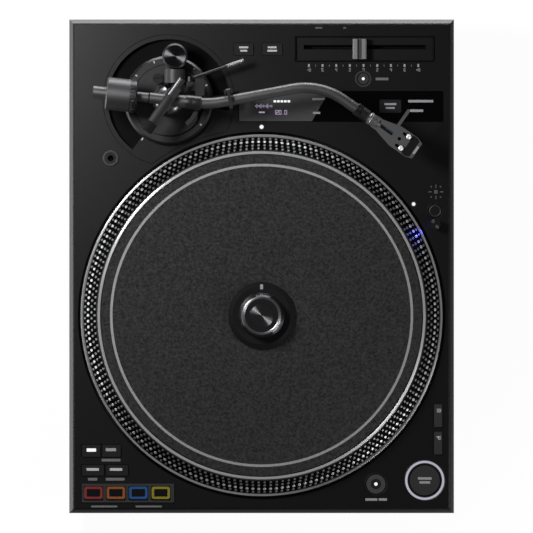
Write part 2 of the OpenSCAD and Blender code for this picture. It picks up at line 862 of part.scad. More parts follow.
module strobe_lamp() {
    stalk_h = strobe_lamp_h - strobe_cap_h;
    color("#2a2a2c") translate([strobe_place.x, strobe_place.y, deck_h - guide_t]) difference() {
        union() {
            cylinder(r = strobe_lamp_r - run_fit, h = guide_t);
            translate([0, 0, guide_t]) cylinder(r = strobe_lamp_r - strobe_cap_lip, h = stalk_h);
            translate([0, 0, guide_t + stalk_h]) cylinder(r = strobe_lamp_r, h = strobe_cap_h);
        }
        translate([-strobe_lamp_r - over, -strobe_mouth[1] / 2, guide_t + strobe_cap_lip])
            cube(strobe_mouth);
    }
}

// Arm well: a plate sunk in the deck, with a recess round the arm base and a guide for its stem
recess_from = -10;
recess_sweep = 244;
recess_floor = 4;
well_flange = 5;
well_flange_t = 3;
guide_wall = 5;
stem_guide_h = 20;

module arm_well() {
    color("#1b1b1d") difference() {
        union() {
            translate([0, 0, recess_z - recess_floor])
                beside_platter(arm_well_r, arm_recess_h + recess_floor, seat_gap);
            translate([0, 0, deck_under - well_flange_t])
                beside_platter(arm_well_r + well_flange, well_flange_t, seat_gap);
            at_pivot(recess_z - stem_guide_h) cylinder(r = stem_r + guide_wall, h = stem_guide_h);
        }
        at_pivot(recess_z) cylinder(r = height_ring_r + seat_gap, h = arm_recess_h + over);
        at_pivot(recess_z) rotate([0, 0, recess_from]) rotate_extrude(angle = recess_sweep)
            translate([height_ring_r - over, 0])
                square([arm_recess_r - height_ring_r + over, arm_recess_h + over]);
        at_pivot(recess_z - stem_guide_h - over)
            cylinder(r = stem_r + run_fit, h = stem_guide_h + 2 * over);
    }
}

// Ring that is turned to raise the arm base
height_bevel = 2;

module height_ring() {
    color("#2b2b2e") at_pivot(ring_z) rotate_extrude() polygon([
        [height_ring_bore, 0], [height_ring_r, 0], [height_ring_r, height_ring_h - height_bevel],
        [height_ring_r - height_bevel, height_ring_h], [height_ring_bore, height_ring_h]
    ]);
}

// Route of the arm axis, seen from above and measured from the pivot
function heading(angle) = [cos(angle), sin(angle)];
function tangent(radius, turn) = radius * tan(abs(turn) / 2);
first_turn = middle_heading - rear_heading;
second_turn = shell_heading - middle_heading;
first_tangent = tangent(first_bend_r, first_turn);
second_tangent = tangent(second_bend_r, second_turn);
first_bend = first_reach * heading(rear_heading);
second_bend = first_bend + middle_reach * heading(middle_heading);
nut_start = second_bend + nut_reach * heading(shell_heading);
rest_reach = 18.7;
rest_place = first_bend + rest_reach * heading(middle_heading);

module at_rest(z) {
    at_pivot(z) translate([rest_place.x, rest_place.y, 0]) rotate([0, 0, middle_heading]) children();
}

module at_shell() {
    at_pivot(arm_z) translate([nut_start.x, nut_start.y, 0]) rotate([0, 0, shell_heading]) children();
}

// Platform that carries the arm, the lift column and the bracket of the arm rest
platform_t = 8;
stem_drop = 18;
bracket_w = 9;
bracket_reach = 61;
column = [6.4, 10.5, 17];
lift_place = [19.6, 10.5];
column_back = 16.75;
lift_r = 2;
cue_z = platform_z + 8;
cue_shaft_r = 1.5;
cue_shaft_start = 13.3;
lock_place = [-9.7, 19.6];
lock_shaft_r = 2;
lock_shaft_h = 5;
boss_place = [20.9, -15.7];
boss_r = 5.6;
boss_bore = 3.4;
boss_h = 1.5;
boss_depth = 6;
yoke_shaft_r = 6;
yoke_shaft_h = 18;

module arm_platform() {
    bracket_z = ring_top + seat_gap;
    bracket_heading = atan2(rest_place.y, rest_place.x);
    color("#242427") at_pivot(0) difference() {
        union() {
            intersection() {
                translate([0, 0, platform_z - platform_t]) cylinder(r = platform_r, h = platform_t);
                translate([-platform_r, -platform_r, platform_z - platform_t])
                    cube([platform_r + platform_flat, 2 * platform_r, platform_t]);
            }
            translate([0, 0, recess_z - stem_drop])
                cylinder(r = stem_r, h = platform_z - platform_t - recess_z + stem_drop);
            rotate([0, 0, bracket_heading]) translate([0, -bracket_w / 2, bracket_z])
                cube([bracket_reach, bracket_w, platform_z - bracket_z]);
            translate([lift_place.x - column[0] / 2, column_back - column[1], platform_z]) cube(column);
            translate([boss_place.x, boss_place.y, platform_z]) cylinder(r = boss_r, h = boss_h);
        }
        translate([0, 0, platform_z - yoke_shaft_h - seat_gap])
            cylinder(r = yoke_shaft_r + run_fit, h = yoke_shaft_h + over);
        translate([lift_place.x, lift_place.y, platform_z])
            cylinder(r = lift_r + run_fit, h = column[2] + over);
        translate([lift_place.x, cue_shaft_start - seat_gap, cue_z])
            rotate([-90, 0, 0]) cylinder(r = cue_shaft_r + run_fit, h = column[1]);
        translate([lock_place.x, lock_place.y, platform_z - lock_shaft_h - seat_gap])
            cylinder(r = lock_shaft_r + run_fit, h = lock_shaft_h + over);
        translate([boss_place.x, boss_place.y, platform_z + boss_h - boss_depth])
            cylinder(r = boss_bore, h = boss_depth + over);
    }
}

// Lying drum and bracket of the anti-skate spring
skate_place = [5.8, 40.1];
skate_drum_x = 5.5;
skate_drum_start = 15.8;
skate_drum_gap = 0.4;
skate_drum_length = skate_place.y - skate_knob_r - skate_drum_gap - skate_drum_start;
skate_foot_w = 16;
skate_foot_h = 6;
skate_post_r = 8.5;
skate_shaft_r = 3;
skate_shaft_h = 5;

module anti_skate_housing() {
    drum_z = platform_z + skate_drum_r + over;
    color("#2a2a2d") at_pivot(0) difference() {
        union() {
            translate([skate_drum_x, skate_drum_start, drum_z])
                rotate([-90, 0, 0]) cylinder(r = skate_drum_r, h = skate_drum_length);
            translate([skate_drum_x - skate_foot_w / 2, skate_drum_start, platform_z])
                cube([skate_foot_w, skate_place.y - skate_drum_start, skate_foot_h]);
            translate([skate_place.x, skate_place.y, platform_z])
                cylinder(r = skate_post_r, h = skate_foot_h);
        }
        translate([skate_place.x, skate_place.y, platform_z + skate_foot_h - skate_shaft_h - seat_gap])
            cylinder(r = skate_shaft_r + run_fit, h = skate_shaft_h + over);
    }
}

// Anti-skate knob, turned on a short shaft
skate_knob_h = 14;
skate_knob_bevel = 1.4;

module anti_skate_knob() {
    color("#9a9b9e") at_pivot(platform_z + skate_foot_h) translate([skate_place.x, skate_place.y, 0])
        rotate_extrude() polygon([
            [0, -skate_shaft_h], [skate_shaft_r, -skate_shaft_h],
            [skate_shaft_r, seat_gap], [skate_knob_r, seat_gap],
            [skate_knob_r, skate_knob_h - skate_knob_bevel],
            [skate_knob_r - skate_knob_bevel, skate_knob_h],
            [0, skate_knob_h]
        ]);
}

// Small knob that locks the height of the arm base
lock_h = 7;
lock_slot = 1.4;

module height_lock() {
    color("#1f1f21") at_pivot(platform_z) translate([lock_place.x, lock_place.y, 0]) difference() {
        union() {
            translate([0, 0, -lock_shaft_h]) cylinder(r = lock_shaft_r, h = lock_shaft_h + over);
            translate([0, 0, seat_gap]) cylinder(r = height_lock_r, h = lock_h);
        }
        translate([-height_lock_r - over, -lock_slot / 2, lock_h - lock_slot])
            cube([2 * (height_lock_r + over), lock_slot, lock_slot + over]);
    }
}

// Arm rest: a far-side post with a cradle under the tube and ears for the clip
rest_w = 8;
rest_post_near = 6.4;
rest_post_t = 4.2;
rest_lip = 6;
rest_foot_h = 4;
cradle_t = 4.6;
clip_axis_v = 8.5;
clip_axis_rise = 8;
clip_pin_r = 1;
clip_w = 3;
ear_gap = 2.2;
ear_top = 2.4;

module arm_rest() {
    cradle_top = arm_z - tube_r - seat_gap;
    clip_z = arm_z + clip_axis_rise;
    color("#202022") at_rest(0) {
        difference() {
            union() {
                translate([-rest_w / 2, rest_post_near, platform_z])
                    cube([rest_w, rest_post_t, clip_z + ear_top - platform_z]);
                translate([-rest_w / 2, -rest_lip, cradle_top - cradle_t])
                    cube([rest_w, rest_lip + rest_post_near + over, cradle_t]);
                translate([-rest_w / 2, -bracket_w / 2, platform_z])
                    cube([rest_w, bracket_w / 2 + rest_post_near + over, rest_foot_h]);
            }
            translate([-ear_gap, rest_post_near - over, arm_z + over])
                cube([2 * ear_gap, rest_post_t + 2 * over, clip_axis_rise + ear_top]);
        }
        translate([0, clip_axis_v, clip_z]) bar(-rest_w / 2, clip_pin_r, rest_w);
    }
}

// Clip that swings over the arm tube
clip_hub_r = 2.4;
clip_reach = 16;
clip_t = 1.8;

module arm_clip() {
    color("#2e2e31") at_rest(arm_z + clip_axis_rise) translate([0, clip_axis_v, 0]) difference() {
        union() {
            bar(-ear_gap + seat_gap, clip_hub_r, 2 * (ear_gap - seat_gap));
            translate([-clip_w / 2, -clip_reach, clip_hub_r - clip_t]) cube([clip_w, clip_reach, clip_t]);
        }
        bar(-ear_gap - over, clip_pin_r + run_fit, 2 * (ear_gap + over));
    }
}

// Cue lever on a short shaft in the lift column
cue_hub_r = 3.6;
cue_hub_t = 4.4;
cue_rod_r = 1.6;
cue_grip_r = 1.9;
cue_grip_length = 17;

module cue_lever() {
    color("#3a3a3d") at_pivot(cue_z) translate([lift_place.x, 0, 0]) {
        translate([0, cue_shaft_start, 0]) rotate([-90, 0, 0])
            cylinder(r = cue_shaft_r, h = column_back + over - cue_shaft_start);
        translate([0, column_back + seat_gap, 0]) rotate([-90, 0, 0])
            cylinder(r = cue_hub_r, h = cue_hub_t);
        translate([0, column_back + seat_gap + cue_hub_t / 2, 0]) rotate([0, 0, cue_heading]) {
            bar(0, cue_rod_r, cue_length - over);
            bar(cue_length - cue_grip_length, cue_grip_r, cue_grip_length);
        }
    }
}

// Lifter plate and curved bar under the arm collar
lifter_gap = 0.4;
lifter_t = 2.5;
lifter_bar_inner = 25.5;
lifter_bar_outer = 29.3;
lifter_from = -54;
lifter_to = 34;
lifter_plate = [24.4, 4, 8.5, 15.6];
lifter_stem_h = 17;

module arm_lifter() {
    lifter_top = arm_z - collar_r - lifter_gap;
    color("#29292c") at_pivot(lifter_top - lifter_t) {
        rotate([0, 0, lifter_from]) rotate_extrude(angle = lifter_to - lifter_from)
            translate([lifter_bar_inner, 0]) square([lifter_bar_outer - lifter_bar_inner, lifter_t]);
        translate([lifter_plate[0], lifter_plate[1], 0])
            cube([lifter_plate[2], lifter_plate[3], lifter_t]);
        translate([lift_place.x - lift_r, lift_place.y - lift_r, 0])
            cube([lifter_plate[0] - lift_place.x + lift_r + over, 2 * lift_r, lifter_t]);
        translate([lift_place.x, lift_place.y, -lifter_stem_h])
            cylinder(r = lift_r, h = lifter_stem_h + lifter_t);
    }
}

// Gimbal yoke: a domed foot that turns in the platform, two cheeks and a bridge over the arm
dome_r = 14.5;
dome_lift = 5;
cheek_near = 9.8;
cheek_t = 4.5;
cheek_w = 7;
bridge_rise = 8;
bridge_h = 6.5;
bridge_w = 9.6;
bridge_bevel = 1.6;
bridge_left = -25.7;
bridge_right = 22.8;
bridge_rod_r = 3;
yoke_cap_r = 4.4;
yoke_cap_length = 7;
screw_tip_r = 1.5;
screw_body_r = 2.4;

module gimbal_yoke() {
    dome_z = platform_z + seat_gap;
    cheek_z = dome_z + dome_lift;
    bridge_z = arm_z + bridge_rise;
    half = bridge_w / 2;
    screw_reach = cheek_near + cheek_t + over;
    color("#2f2f33") at_yoke(0) difference() {
        union() {
            translate([0, 0, platform_z - yoke_shaft_h])
                cylinder(r = yoke_shaft_r, h = yoke_shaft_h + dome_lift);
            intersection() {
                translate([0, 0, dome_z + dome_lift]) sphere(r = dome_r);
                translate([-dome_r, -dome_r, dome_z])
                    cube([2 * dome_r, 2 * dome_r, dome_lift + dome_r + over]);
            }
            for (side = [-1, 1])
                translate([side * (cheek_near + cheek_t / 2) - cheek_t / 2, -cheek_w / 2, cheek_z])
                    cube([cheek_t, cheek_w, bridge_z + over - cheek_z]);
            translate([bridge_left, 0, bridge_z]) rotate([90, 0, 90])
                linear_extrude(cheek_near + cheek_t - bridge_left) polygon([
                    [-half, 0], [half, 0], [half, bridge_h - bridge_bevel],
                    [half - bridge_bevel, bridge_h], [bridge_bevel - half, bridge_h],
                    [-half, bridge_h - bridge_bevel]
                ]);
            translate([0, 0, bridge_z + bridge_rod_r])
                bar(cheek_near, bridge_rod_r, bridge_right - cheek_near);
            translate([0, 0, bridge_z + bridge_h - yoke_cap_r])
                bar(bridge_left - yoke_cap_length, yoke_cap_r, yoke_cap_length + over);
        }
        translate([0, 0, arm_z]) bar(-screw_reach, screw_body_r + run_fit, 2 * screw_reach);
    }
}

// Pivot screws whose tips carry the arm hub
screw_tip_start = 6.9;
pivot_head_r = 3.2;
pivot_head_t = 1.6;

module pivot_screws() {
    color("#b9babd") for (side = [0, 180])
        at_yoke(arm_z) rotate([0, 0, side]) {
            bar(screw_tip_start, screw_tip_r, cheek_near - screw_tip_start + over);
            bar(cheek_near, screw_body_r, cheek_t);
            bar(cheek_near + cheek_t, pivot_head_r, pivot_head_t);
        }
}

// A hollow straight stretch and a hollow bend of the arm tube: the stretch is a hair thinner in its wall
// and runs a little way into the bends at its ends
splice = 0.02;
splice_length = 1;

module stretch(from, angle, length) {
    translate([from.x, from.y, 0]) rotate([0, 0, angle]) rotate([0, 90, 0])
        translate([0, 0, -splice_length])
            ring(tube_r - splice, tube_r - tube_wall + splice, length + 2 * splice_length);
}

module bend(corner, angle_in, turn, bend_r) {
    side = sign(turn);
    start = corner - tangent(bend_r, turn) * heading(angle_in);
    centre = start + side * bend_r * heading(angle_in + 90);
    translate([centre.x, centre.y, 0]) rotate([0, 0, angle_in - side * 90 + min(turn, 0)])
        rotate_extrude(angle = abs(turn)) translate([bend_r, 0]) difference() {
            circle(r = tube_r);
            circle(r = tube_r - tube_wall);
        }
}

// The bent tube from the collar to a distance past the start of the nut
module arm_sweep(past) {
    bend(first_bend, rear_heading, first_turn, first_bend_r);
    stretch(first_bend + first_tangent * heading(middle_heading), middle_heading,
        middle_reach - first_tangent - second_tangent);
    bend(second_bend, middle_heading, second_turn, second_bend_r);
    stretch(second_bend + second_tangent * heading(shell_heading), shell_heading,
        nut_reach - second_tangent + past - splice_length);
}

// Arm tube with its hub, collar and the rear shaft for the counterweight
hub_cross_r = 6;
hub_cross_reach = 9;
front_hub_r = 5.75;
front_hub_length = 20;
collar_start = 16;
collar_length = 14;
rear_hub_r = 5;
rear_hub_length = 17.5;
tail_r = 4.5;
tail_end = 58;
stub_r = 5.85;
stub_start = 52;
stub_end = 69.5;
tube_past = 14.7;

module arm_tube() {
    color("#8a8c90") at_pivot(arm_z) difference() {
        union() {
            arm_sweep(tube_past);
            rotate([0, 0, rear_heading]) {
                bar(0, front_hub_r, front_hub_length);
                bar(collar_start, collar_r, collar_length);
                bar(-rear_hub_length, rear_hub_r, rear_hub_length);
                bar(-tail_end, tail_r, tail_end);
                bar(-stub_end, stub_r, stub_end - stub_start);
            }
            rotate([0, 0, yoke_heading]) bar(-hub_cross_reach, hub_cross_r, 2 * hub_cross_reach);
        }
        for (side = [0, 180])
            rotate([0, 0, yoke_heading + side])
                bar(screw_tip_start - seat_gap, screw_tip_r + run_fit, hub_cross_reach);
    }
}

// Knurled nut that locks the headshell
module headshell_nut() {
    color("#2c2c2f") at_shell() difference() {
        bar(0, nut_r, nut_length);
        bar(-over, tube_r + 2 * run_fit, nut_length + 2 * over);
    }
}

// Headshell: neck, slotted plate and finger lift
neck_ring_r = 5.85;
neck_ring_t = 1.5;
neck_r = 4.6;
neck_end = 24;
shell_start = 20;
shell_flare = 26;
shell_wide = 44;
shell_nose = 62;
shell_nose_taper = 2.2;
lead_slot = [25.6, 15.4, 3.3];
sight_hole = [48.4, 1.6];
screw_u = 54.4;
screw_slot_w = 2.6;
screw_slot_reach = 5;
lift_u = 40.65;
lift_w = 3;
lift_t = 1.6;
lift_tip = 27.2;

module shell_outline() {
    half = shell_w / 2;
    difference() {
        polygon([
            [shell_start, -neck_ring_r], [shell_flare, -neck_ring_r], [shell_wide, -half],
            [shell_nose, -half], [shell_front, shell_nose_taper - half],
            [shell_front, half - shell_nose_taper], [shell_nose, half],
            [shell_wide, half], [shell_flare, neck_ring_r], [shell_start, neck_ring_r]
        ]);
        translate([lead_slot[0], -lead_slot[2] / 2]) square([lead_slot[1], lead_slot[2]]);
        translate([sight_hole[0], 0]) circle(r = sight_hole[1]);
        for (v = [-1, 1] * cartridge_pitch / 2) {
            translate([screw_u - screw_slot_reach, v - screw_slot_w / 2])
                square([2 * screw_slot_reach, screw_slot_w]);
            for (u = [-1, 1] * screw_slot_reach)
                translate([screw_u + u, v]) circle(r = screw_slot_w / 2);
        }
    }
}

module headshell() {
    color("#2b2b2e") at_shell() {
        difference() {
            union() {
                bar(tube_past, neck_ring_r, neck_ring_t);
                bar(tube_past, neck_r, neck_end - tube_past);
            }
            translate([shell_start, -neck_ring_r, -shell_t / 2])
                cube([shell_flare, 2 * neck_ring_r, shell_t]);
        }
        translate([0, 0, -shell_t / 2]) linear_extrude(shell_t) shell_outline();
        translate([lift_u - lift_w / 2, shell_w / 2 - shell_t, -lift_t / 2])
            cube([lift_w, lift_tip - shell_w / 2 + shell_t - lift_w / 2, lift_t]);
        translate([lift_u, lift_tip - lift_w / 2, -lift_t / 2]) cylinder(r = lift_w / 2, h = lift_t);
    }
}

// Cartridge under the headshell
cartridge_start = 47;
cartridge_end = 66;
cartridge_w = 16.4;
cartridge_nose = 5.4;
cartridge_step = 4;
cartridge_back_slope = 2;
cartridge_front_slope = 3;
cartridge_screw_h = 7;

module cartridge() {
    color("#1d1d1f") at_shell() translate([0, 0, -shell_t / 2]) difference() {
        translate([0, cartridge_w / 2, 0]) rotate([90, 0, 0]) linear_extrude(cartridge_w) polygon([
            [cartridge_start, 0], [cartridge_start, cartridge_step - cartridge_h],
            [cartridge_start + cartridge_back_slope, -cartridge_h],
            [cartridge_end - cartridge_front_slope, -cartridge_h],
            [cartridge_end, -cartridge_nose], [cartridge_end, 0]
        ]);
        for (v = [-1, 1] * cartridge_pitch / 2)
            translate([screw_u, v, -cartridge_screw_h])
                cylinder(r = cartridge_screw_r + run_fit, h = cartridge_screw_h + over);
    }
}

// Stylus assembly with its cantilever tip
stylus_u = 65.4;
stylus_start = 54;
stylus_nose = 67;
stylus_w = 8.8;
stylus_h = 3.4;
tip_r = 0.25;
tip_root_r = 0.9;

module stylus() {
    top = -shell_t / 2 - cartridge_h;
    tip = mat_top + tip_clear - arm_z;
    color("#c8c9cc") at_shell() {
        translate([stylus_start, -stylus_w / 2, top - stylus_h])
            cube([stylus_nose - stylus_start, stylus_w, stylus_h]);
        translate([stylus_u, 0, tip]) cylinder(r1 = tip_r, r2 = tip_root_r, h = top - stylus_h - tip);
    }
}

// Screws through the headshell slots
cartridge_screw_r = 1.2;
cartridge_head_r = 2.75;
cartridge_head_h = 1.7;

module cartridge_screws() {
    color("#d2d3d6") at_shell() for (v = [-1, 1] * cartridge_pitch / 2)
        translate([screw_u, v, shell_t / 2]) {
            cylinder(r = cartridge_head_r, h = cartridge_head_h);
            translate([0, 0, -shell_t - cartridge_screw_h + over])
                cylinder(r = cartridge_screw_r, h = shell_t + cartridge_screw_h);
        }
}

// Four leads that hang in shallow arcs from the neck to the cartridge
lead_r = 0.6;
lead_pitch = 1.8;
lead_sag = 2;
lead_drop = 1.2;

module headshell_leads() {
    half_span = (cartridge_start - neck_end) / 2 - lead_r / 2;
    arc_r = (half_span ^ 2 + lead_sag ^ 2) / (2 * lead_sag);
    arc_half = asin(half_span / arc_r);
    arc_u = (neck_end + cartridge_start) / 2;
    arc_z = arc_r - lead_sag - shell_t / 2 - lead_drop;
    color("#b03a34") at_shell() for (i = [-1.5:1.5])
        translate([arc_u, i * lead_pitch, arc_z])
            rotate([90, 0, 0]) rotate([0, 0, -90 - arc_half]) rotate_extrude(angle = 2 * arc_half)
                translate([arc_r, 0]) circle(r = lead_r);
}

// Moves the children to the rear of the arm, with +X pointing to the headshell
module at_tail() {
    at_pivot(arm_z) rotate([0, 0, rear_heading]) children();
}

// Threaded sleeve, counterweight and force ring on the tail
sleeve_r = 6.5;
sleeve_length = 15;
sleeve_step = 2;
sleeve_start = weight_front + sleeve_step;
weight_boss_r = 9;
weight_bevel = 1.2;
weight_start = weight_front + force_ring_length + seat_gap;
weight_end = weight_start + weight_length;

module counterweight_sleeve() {
    color("#a08a54") at_tail() difference() {
        bar(-sleeve_start - sleeve_length, sleeve_r, sleeve_length);
        bar(-sleeve_start - sleeve_length - over, tail_r + run_fit, sleeve_length + 2 * over);
    }
}

module counterweight() {
    color("#77797d") at_tail() rotate([0, -90, 0]) rotate_extrude() polygon([
        [sleeve_r + run_fit, weight_front + seat_gap], [weight_boss_r, weight_front + seat_gap],
        [weight_boss_r, weight_start], [weight_r, weight_start], [weight_r, weight_end - weight_bevel],
        [weight_r - weight_bevel, weight_end], [sleeve_r + run_fit, weight_end]
    ]);
}

module force_ring() {
    color("#4b4c50") at_tail() rotate([0, -90, 0]) rotate_extrude() polygon([
        [weight_boss_r + run_fit, weight_front], [weight_r - weight_bevel, weight_front],
        [weight_r, weight_front + weight_bevel], [weight_r, weight_start - seat_gap],
        [weight_boss_r + run_fit, weight_start - seat_gap]
    ]);
}

// Push buttons: a cap through the deck and a flange under it
module square_button(b, tint) {
    color(tint) translate([b[0], b[1], 0]) {
        translate([0, 0, button_foot])
            round_plate(b[2], b[3], deck_h + button_rise - button_foot, button_corner);
        translate([0, 0, button_foot])
            round_plate(b[2] + 2 * button_flange, b[3] + 2 * button_flange, button_flange_t, button_corner);
    }
}

module round_button(b, tint) {
    color(tint) translate([b[0], b[1], button_foot]) {
        cylinder(r = b[2], h = deck_h + button_rise - button_foot);
        cylinder(r = b[2] + button_flange, h = button_flange_t);
    }
}

top_cabinet();
base_chassis();
foot_cups();
foot_pads();
case_screws();
rear_sockets();
power_switch();
circuit_boards();
motor_stator();
bearing_housing();
arm_well();
fader_unit();
display_window();
light_guides();
strobe_lamp();
platter();
slipmat();
spindle();
rotor_magnet();
clamp_disc();
clamp_cap();
height_ring();
arm_platform();
anti_skate_housing();
arm_rest();
height_lock();
anti_skate_knob();
cue_lever();
arm_lifter();
arm_clip();
gimbal_yoke();
pivot_screws();
arm_tube();
headshell_nut();
headshell();
cartridge();
stylus();
cartridge_screws();
headshell_leads();
counterweight_sleeve();
counterweight();
force_ring();
tempo_knob();
round_button(round_buttons[0], "#2a2a2d");  // start_button
square_button(speed_buttons[0], "#3a3a3d");  // speed_33_button
square_button(speed_buttons[1], "#3a3a3d");  // speed_45_button
round_button(reset_place, "#2a2a2d");  // reset_button
round_button(motor_off_place, "#2a2a2d");  // motor_off_button
square_button(key_buttons[0], "#2e2e31");  // range_button
square_button(key_buttons[1], "#2e2e31");  // key_button
square_button(mode_place, "#2e2e31");  // mode_button
round_button(lamp_place, "#2a2a2d");  // lamp_button
square_button(function_buttons[0], "#2e2e31");  // function_button_1
square_button(function_buttons[1], "#2e2e31");  // function_button_2
square_button(function_buttons[2], "#2e2e31");  // function_button_3
square_button(function_buttons[3], "#2e2e31");  // function_button_4
square_button(pads[0], "#7c2b28");  // pad_1
square_button(pads[1], "#8a5322");  // pad_2
square_button(pads[2], "#2b4a8c");  // pad_3
square_button(pads[3], "#8a8122");  // pad_4
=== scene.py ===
import math

import bmesh
import bpy
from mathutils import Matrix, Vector


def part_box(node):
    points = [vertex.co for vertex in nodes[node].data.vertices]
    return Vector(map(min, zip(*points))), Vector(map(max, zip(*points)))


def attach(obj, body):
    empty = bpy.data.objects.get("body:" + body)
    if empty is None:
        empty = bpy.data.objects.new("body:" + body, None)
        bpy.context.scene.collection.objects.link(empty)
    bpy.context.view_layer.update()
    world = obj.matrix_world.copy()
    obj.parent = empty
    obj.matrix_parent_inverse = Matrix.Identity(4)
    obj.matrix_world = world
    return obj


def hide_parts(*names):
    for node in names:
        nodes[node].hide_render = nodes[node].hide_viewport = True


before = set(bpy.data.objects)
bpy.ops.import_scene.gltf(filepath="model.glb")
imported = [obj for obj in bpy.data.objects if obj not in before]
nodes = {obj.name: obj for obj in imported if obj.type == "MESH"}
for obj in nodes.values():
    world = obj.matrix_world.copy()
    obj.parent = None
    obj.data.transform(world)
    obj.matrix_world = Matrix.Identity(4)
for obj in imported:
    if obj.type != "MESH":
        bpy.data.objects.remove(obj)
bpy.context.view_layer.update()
scene = bpy.context.scene
scene.view_settings.view_transform = "Standard"
print("frame loaded:", len(nodes), "nodes")

# Camera: straight above the deck and far away behind a long lens, so that nothing converges
cameraSetup = {"lens": 1400.0, "sensor": 36.0, "frameWidth": 0.4891, "middle": (0.0045, -0.0002), "plane": 0.100,
               "clip": 60}
cameraData = bpy.data.cameras.new("plan_camera")
cameraData.lens = cameraSetup["lens"]
cameraData.sensor_width = cameraSetup["sensor"]
cameraData.clip_end = cameraSetup["clip"]
camera = bpy.data.objects.new("plan_camera", cameraData)
reach = cameraSetup["frameWidth"] * cameraSetup["lens"] / cameraSetup["sensor"]
camera.location = (*cameraSetup["middle"], cameraSetup["plane"] + reach)
scene.collection.objects.link(camera)
scene.camera = camera
print("camera set", round(reach, 2), "m above the deck")


def linear(hexColour):
    parts = [int(hexColour[i:i + 2], 16) / 255 for i in (1, 3, 5)]
    return (*[c / 12.92 if c <= 0.04045 else ((c + 0.055) / 1.055) ** 2.4 for c in parts], 1.0)


def addNode(tree, kind, settings=None, links=None):
    node = tree.nodes.new(kind)
    for key, value in (settings or {}).items():
        if isinstance(key, str) and hasattr(node, key):
            setattr(node, key, value)
        else:
            node.inputs[key].default_value = value
    for key, source in (links or {}).items():
        tree.links.new(source, node.inputs[key])
    return node


def newMaterial(name):
    material = bpy.data.materials.new(name)
    material.use_nodes = True
    tree = material.node_tree
    tree.nodes.clear()
    return material, tree, addNode(tree, "ShaderNodeTexCoord").outputs["Object"]


# Colour, roughness and bump of a finish, led by its pattern
def finishFrom(tree, look, cloud, pattern, settings, links=None):
    tint = addNode(tree, "ShaderNodeMix", {"data_type": "RGBA", 6: linear(look["colour"]), 7: linear(look["shade"])},
                   {0: cloud})
    smooth, coarse = look["rough"]
    rough = addNode(tree, "ShaderNodeMapRange", {"From Min": 0.3, "From Max": 0.7, "To Min": smooth, "To Max": coarse},
                    {"Value": pattern})
    bump = addNode(tree, "ShaderNodeBump", {"Strength": 1.0, "Distance": look["depthMm"] / 1000}, {"Height": pattern})
    shader = addNode(tree, "ShaderNodeBsdfPrincipled", settings, {
        "Base Color": tint.outputs[2], "Roughness": rough.outputs["Result"], "Normal": bump.outputs["Normal"],
        **(links or {})})
    addNode(tree, "ShaderNodeOutputMaterial", None, {"Surface": shader.outputs["BSDF"]})


# Distance from an upright axis, in metres
def fromAxis(tree, where, centreMm):
    flat = addNode(tree, "ShaderNodeVectorMath", {"operation": "MULTIPLY", 1: (1.0, 1.0, 0.0)}, {0: where})
    centre = (centreMm[0] / 1000, centreMm[1] / 1000, 0.0)
    return addNode(tree, "ShaderNodeVectorMath", {"operation": "DISTANCE", 1: centre},
                   {0: flat.outputs[0]}).outputs["Value"]


cloudMm = 45  # width of the slow change of shade over a surface


# Grain, cloudy shade and roughness in real millimetres; a grain too fine to show is drawn coarser
def surface(name, look):
    material, tree, where = newMaterial(name)
    grain = addNode(tree, "ShaderNodeTexNoise", {"Scale": 1000 / look["grainMm"], "Detail": 3.0, "Roughness": 0.6},
                    {"Vector": where})
    cloud = addNode(tree, "ShaderNodeTexNoise", {"Scale": 1000 / cloudMm, "Detail": 2.0}, {"Vector": where})
    finishFrom(tree, look, cloud.outputs["Fac"], grain.outputs["Fac"], {
        "Metallic": look.get("metal", 0.0), "Specular IOR Level": look.get("gloss", 0.5)})
    return material


# Metal turned on a lathe: light draws out into cones; the tool's rings are drawn coarser so that they show
def turnedMetal(name, look):
    material, tree, where = newMaterial(name)
    rings = addNode(tree, "ShaderNodeTexNoise", {
        "noise_dimensions": "1D", "Scale": 1000 / look["ringMm"], "Detail": 4.0},
        {"W": fromAxis(tree, where, look["centreMm"])}).outputs["Fac"]
    tangent = addNode(tree, "ShaderNodeTangent", {"direction_type": "RADIAL", "axis": "Z"})
    finishFrom(tree, look, rings, rings, {
        "Metallic": look.get("metal", 1.0), "Anisotropic": look["drawn"], "Anisotropic Rotation": 0.25},
        {"Tangent": tangent.outputs[0]})
    return material


# A lit diffuser: a moulded lens with a faint uneven glow
def litLens(name, look):
    material, tree, where = newMaterial(name)
    glow = addNode(tree, "ShaderNodeTexNoise", {"Scale": 1000 / look["glowMm"], "Detail": 1.0}, {"Vector": where})
    tint = addNode(tree, "ShaderNodeMix", {"data_type": "RGBA", 6: linear(look["colour"]), 7: linear(look["shade"])},
                   {0: glow.outputs["Fac"]})
    shader = addNode(tree, "ShaderNodeBsdfPrincipled", {
        "Base Color": linear("#141416"), "Roughness": 0.35, "Specular IOR Level": 0.2,
        "Emission Strength": look["strength"]}, {"Emission Color": tint.outputs[2]})
    addNode(tree, "ShaderNodeOutputMaterial", None, {"Surface": shader.outputs["BSDF"]})
    return material


spindle = (0.0, -45.0)
pivot = (-85.3, 152.4)
skateKnob = (-79.5, 192.5)

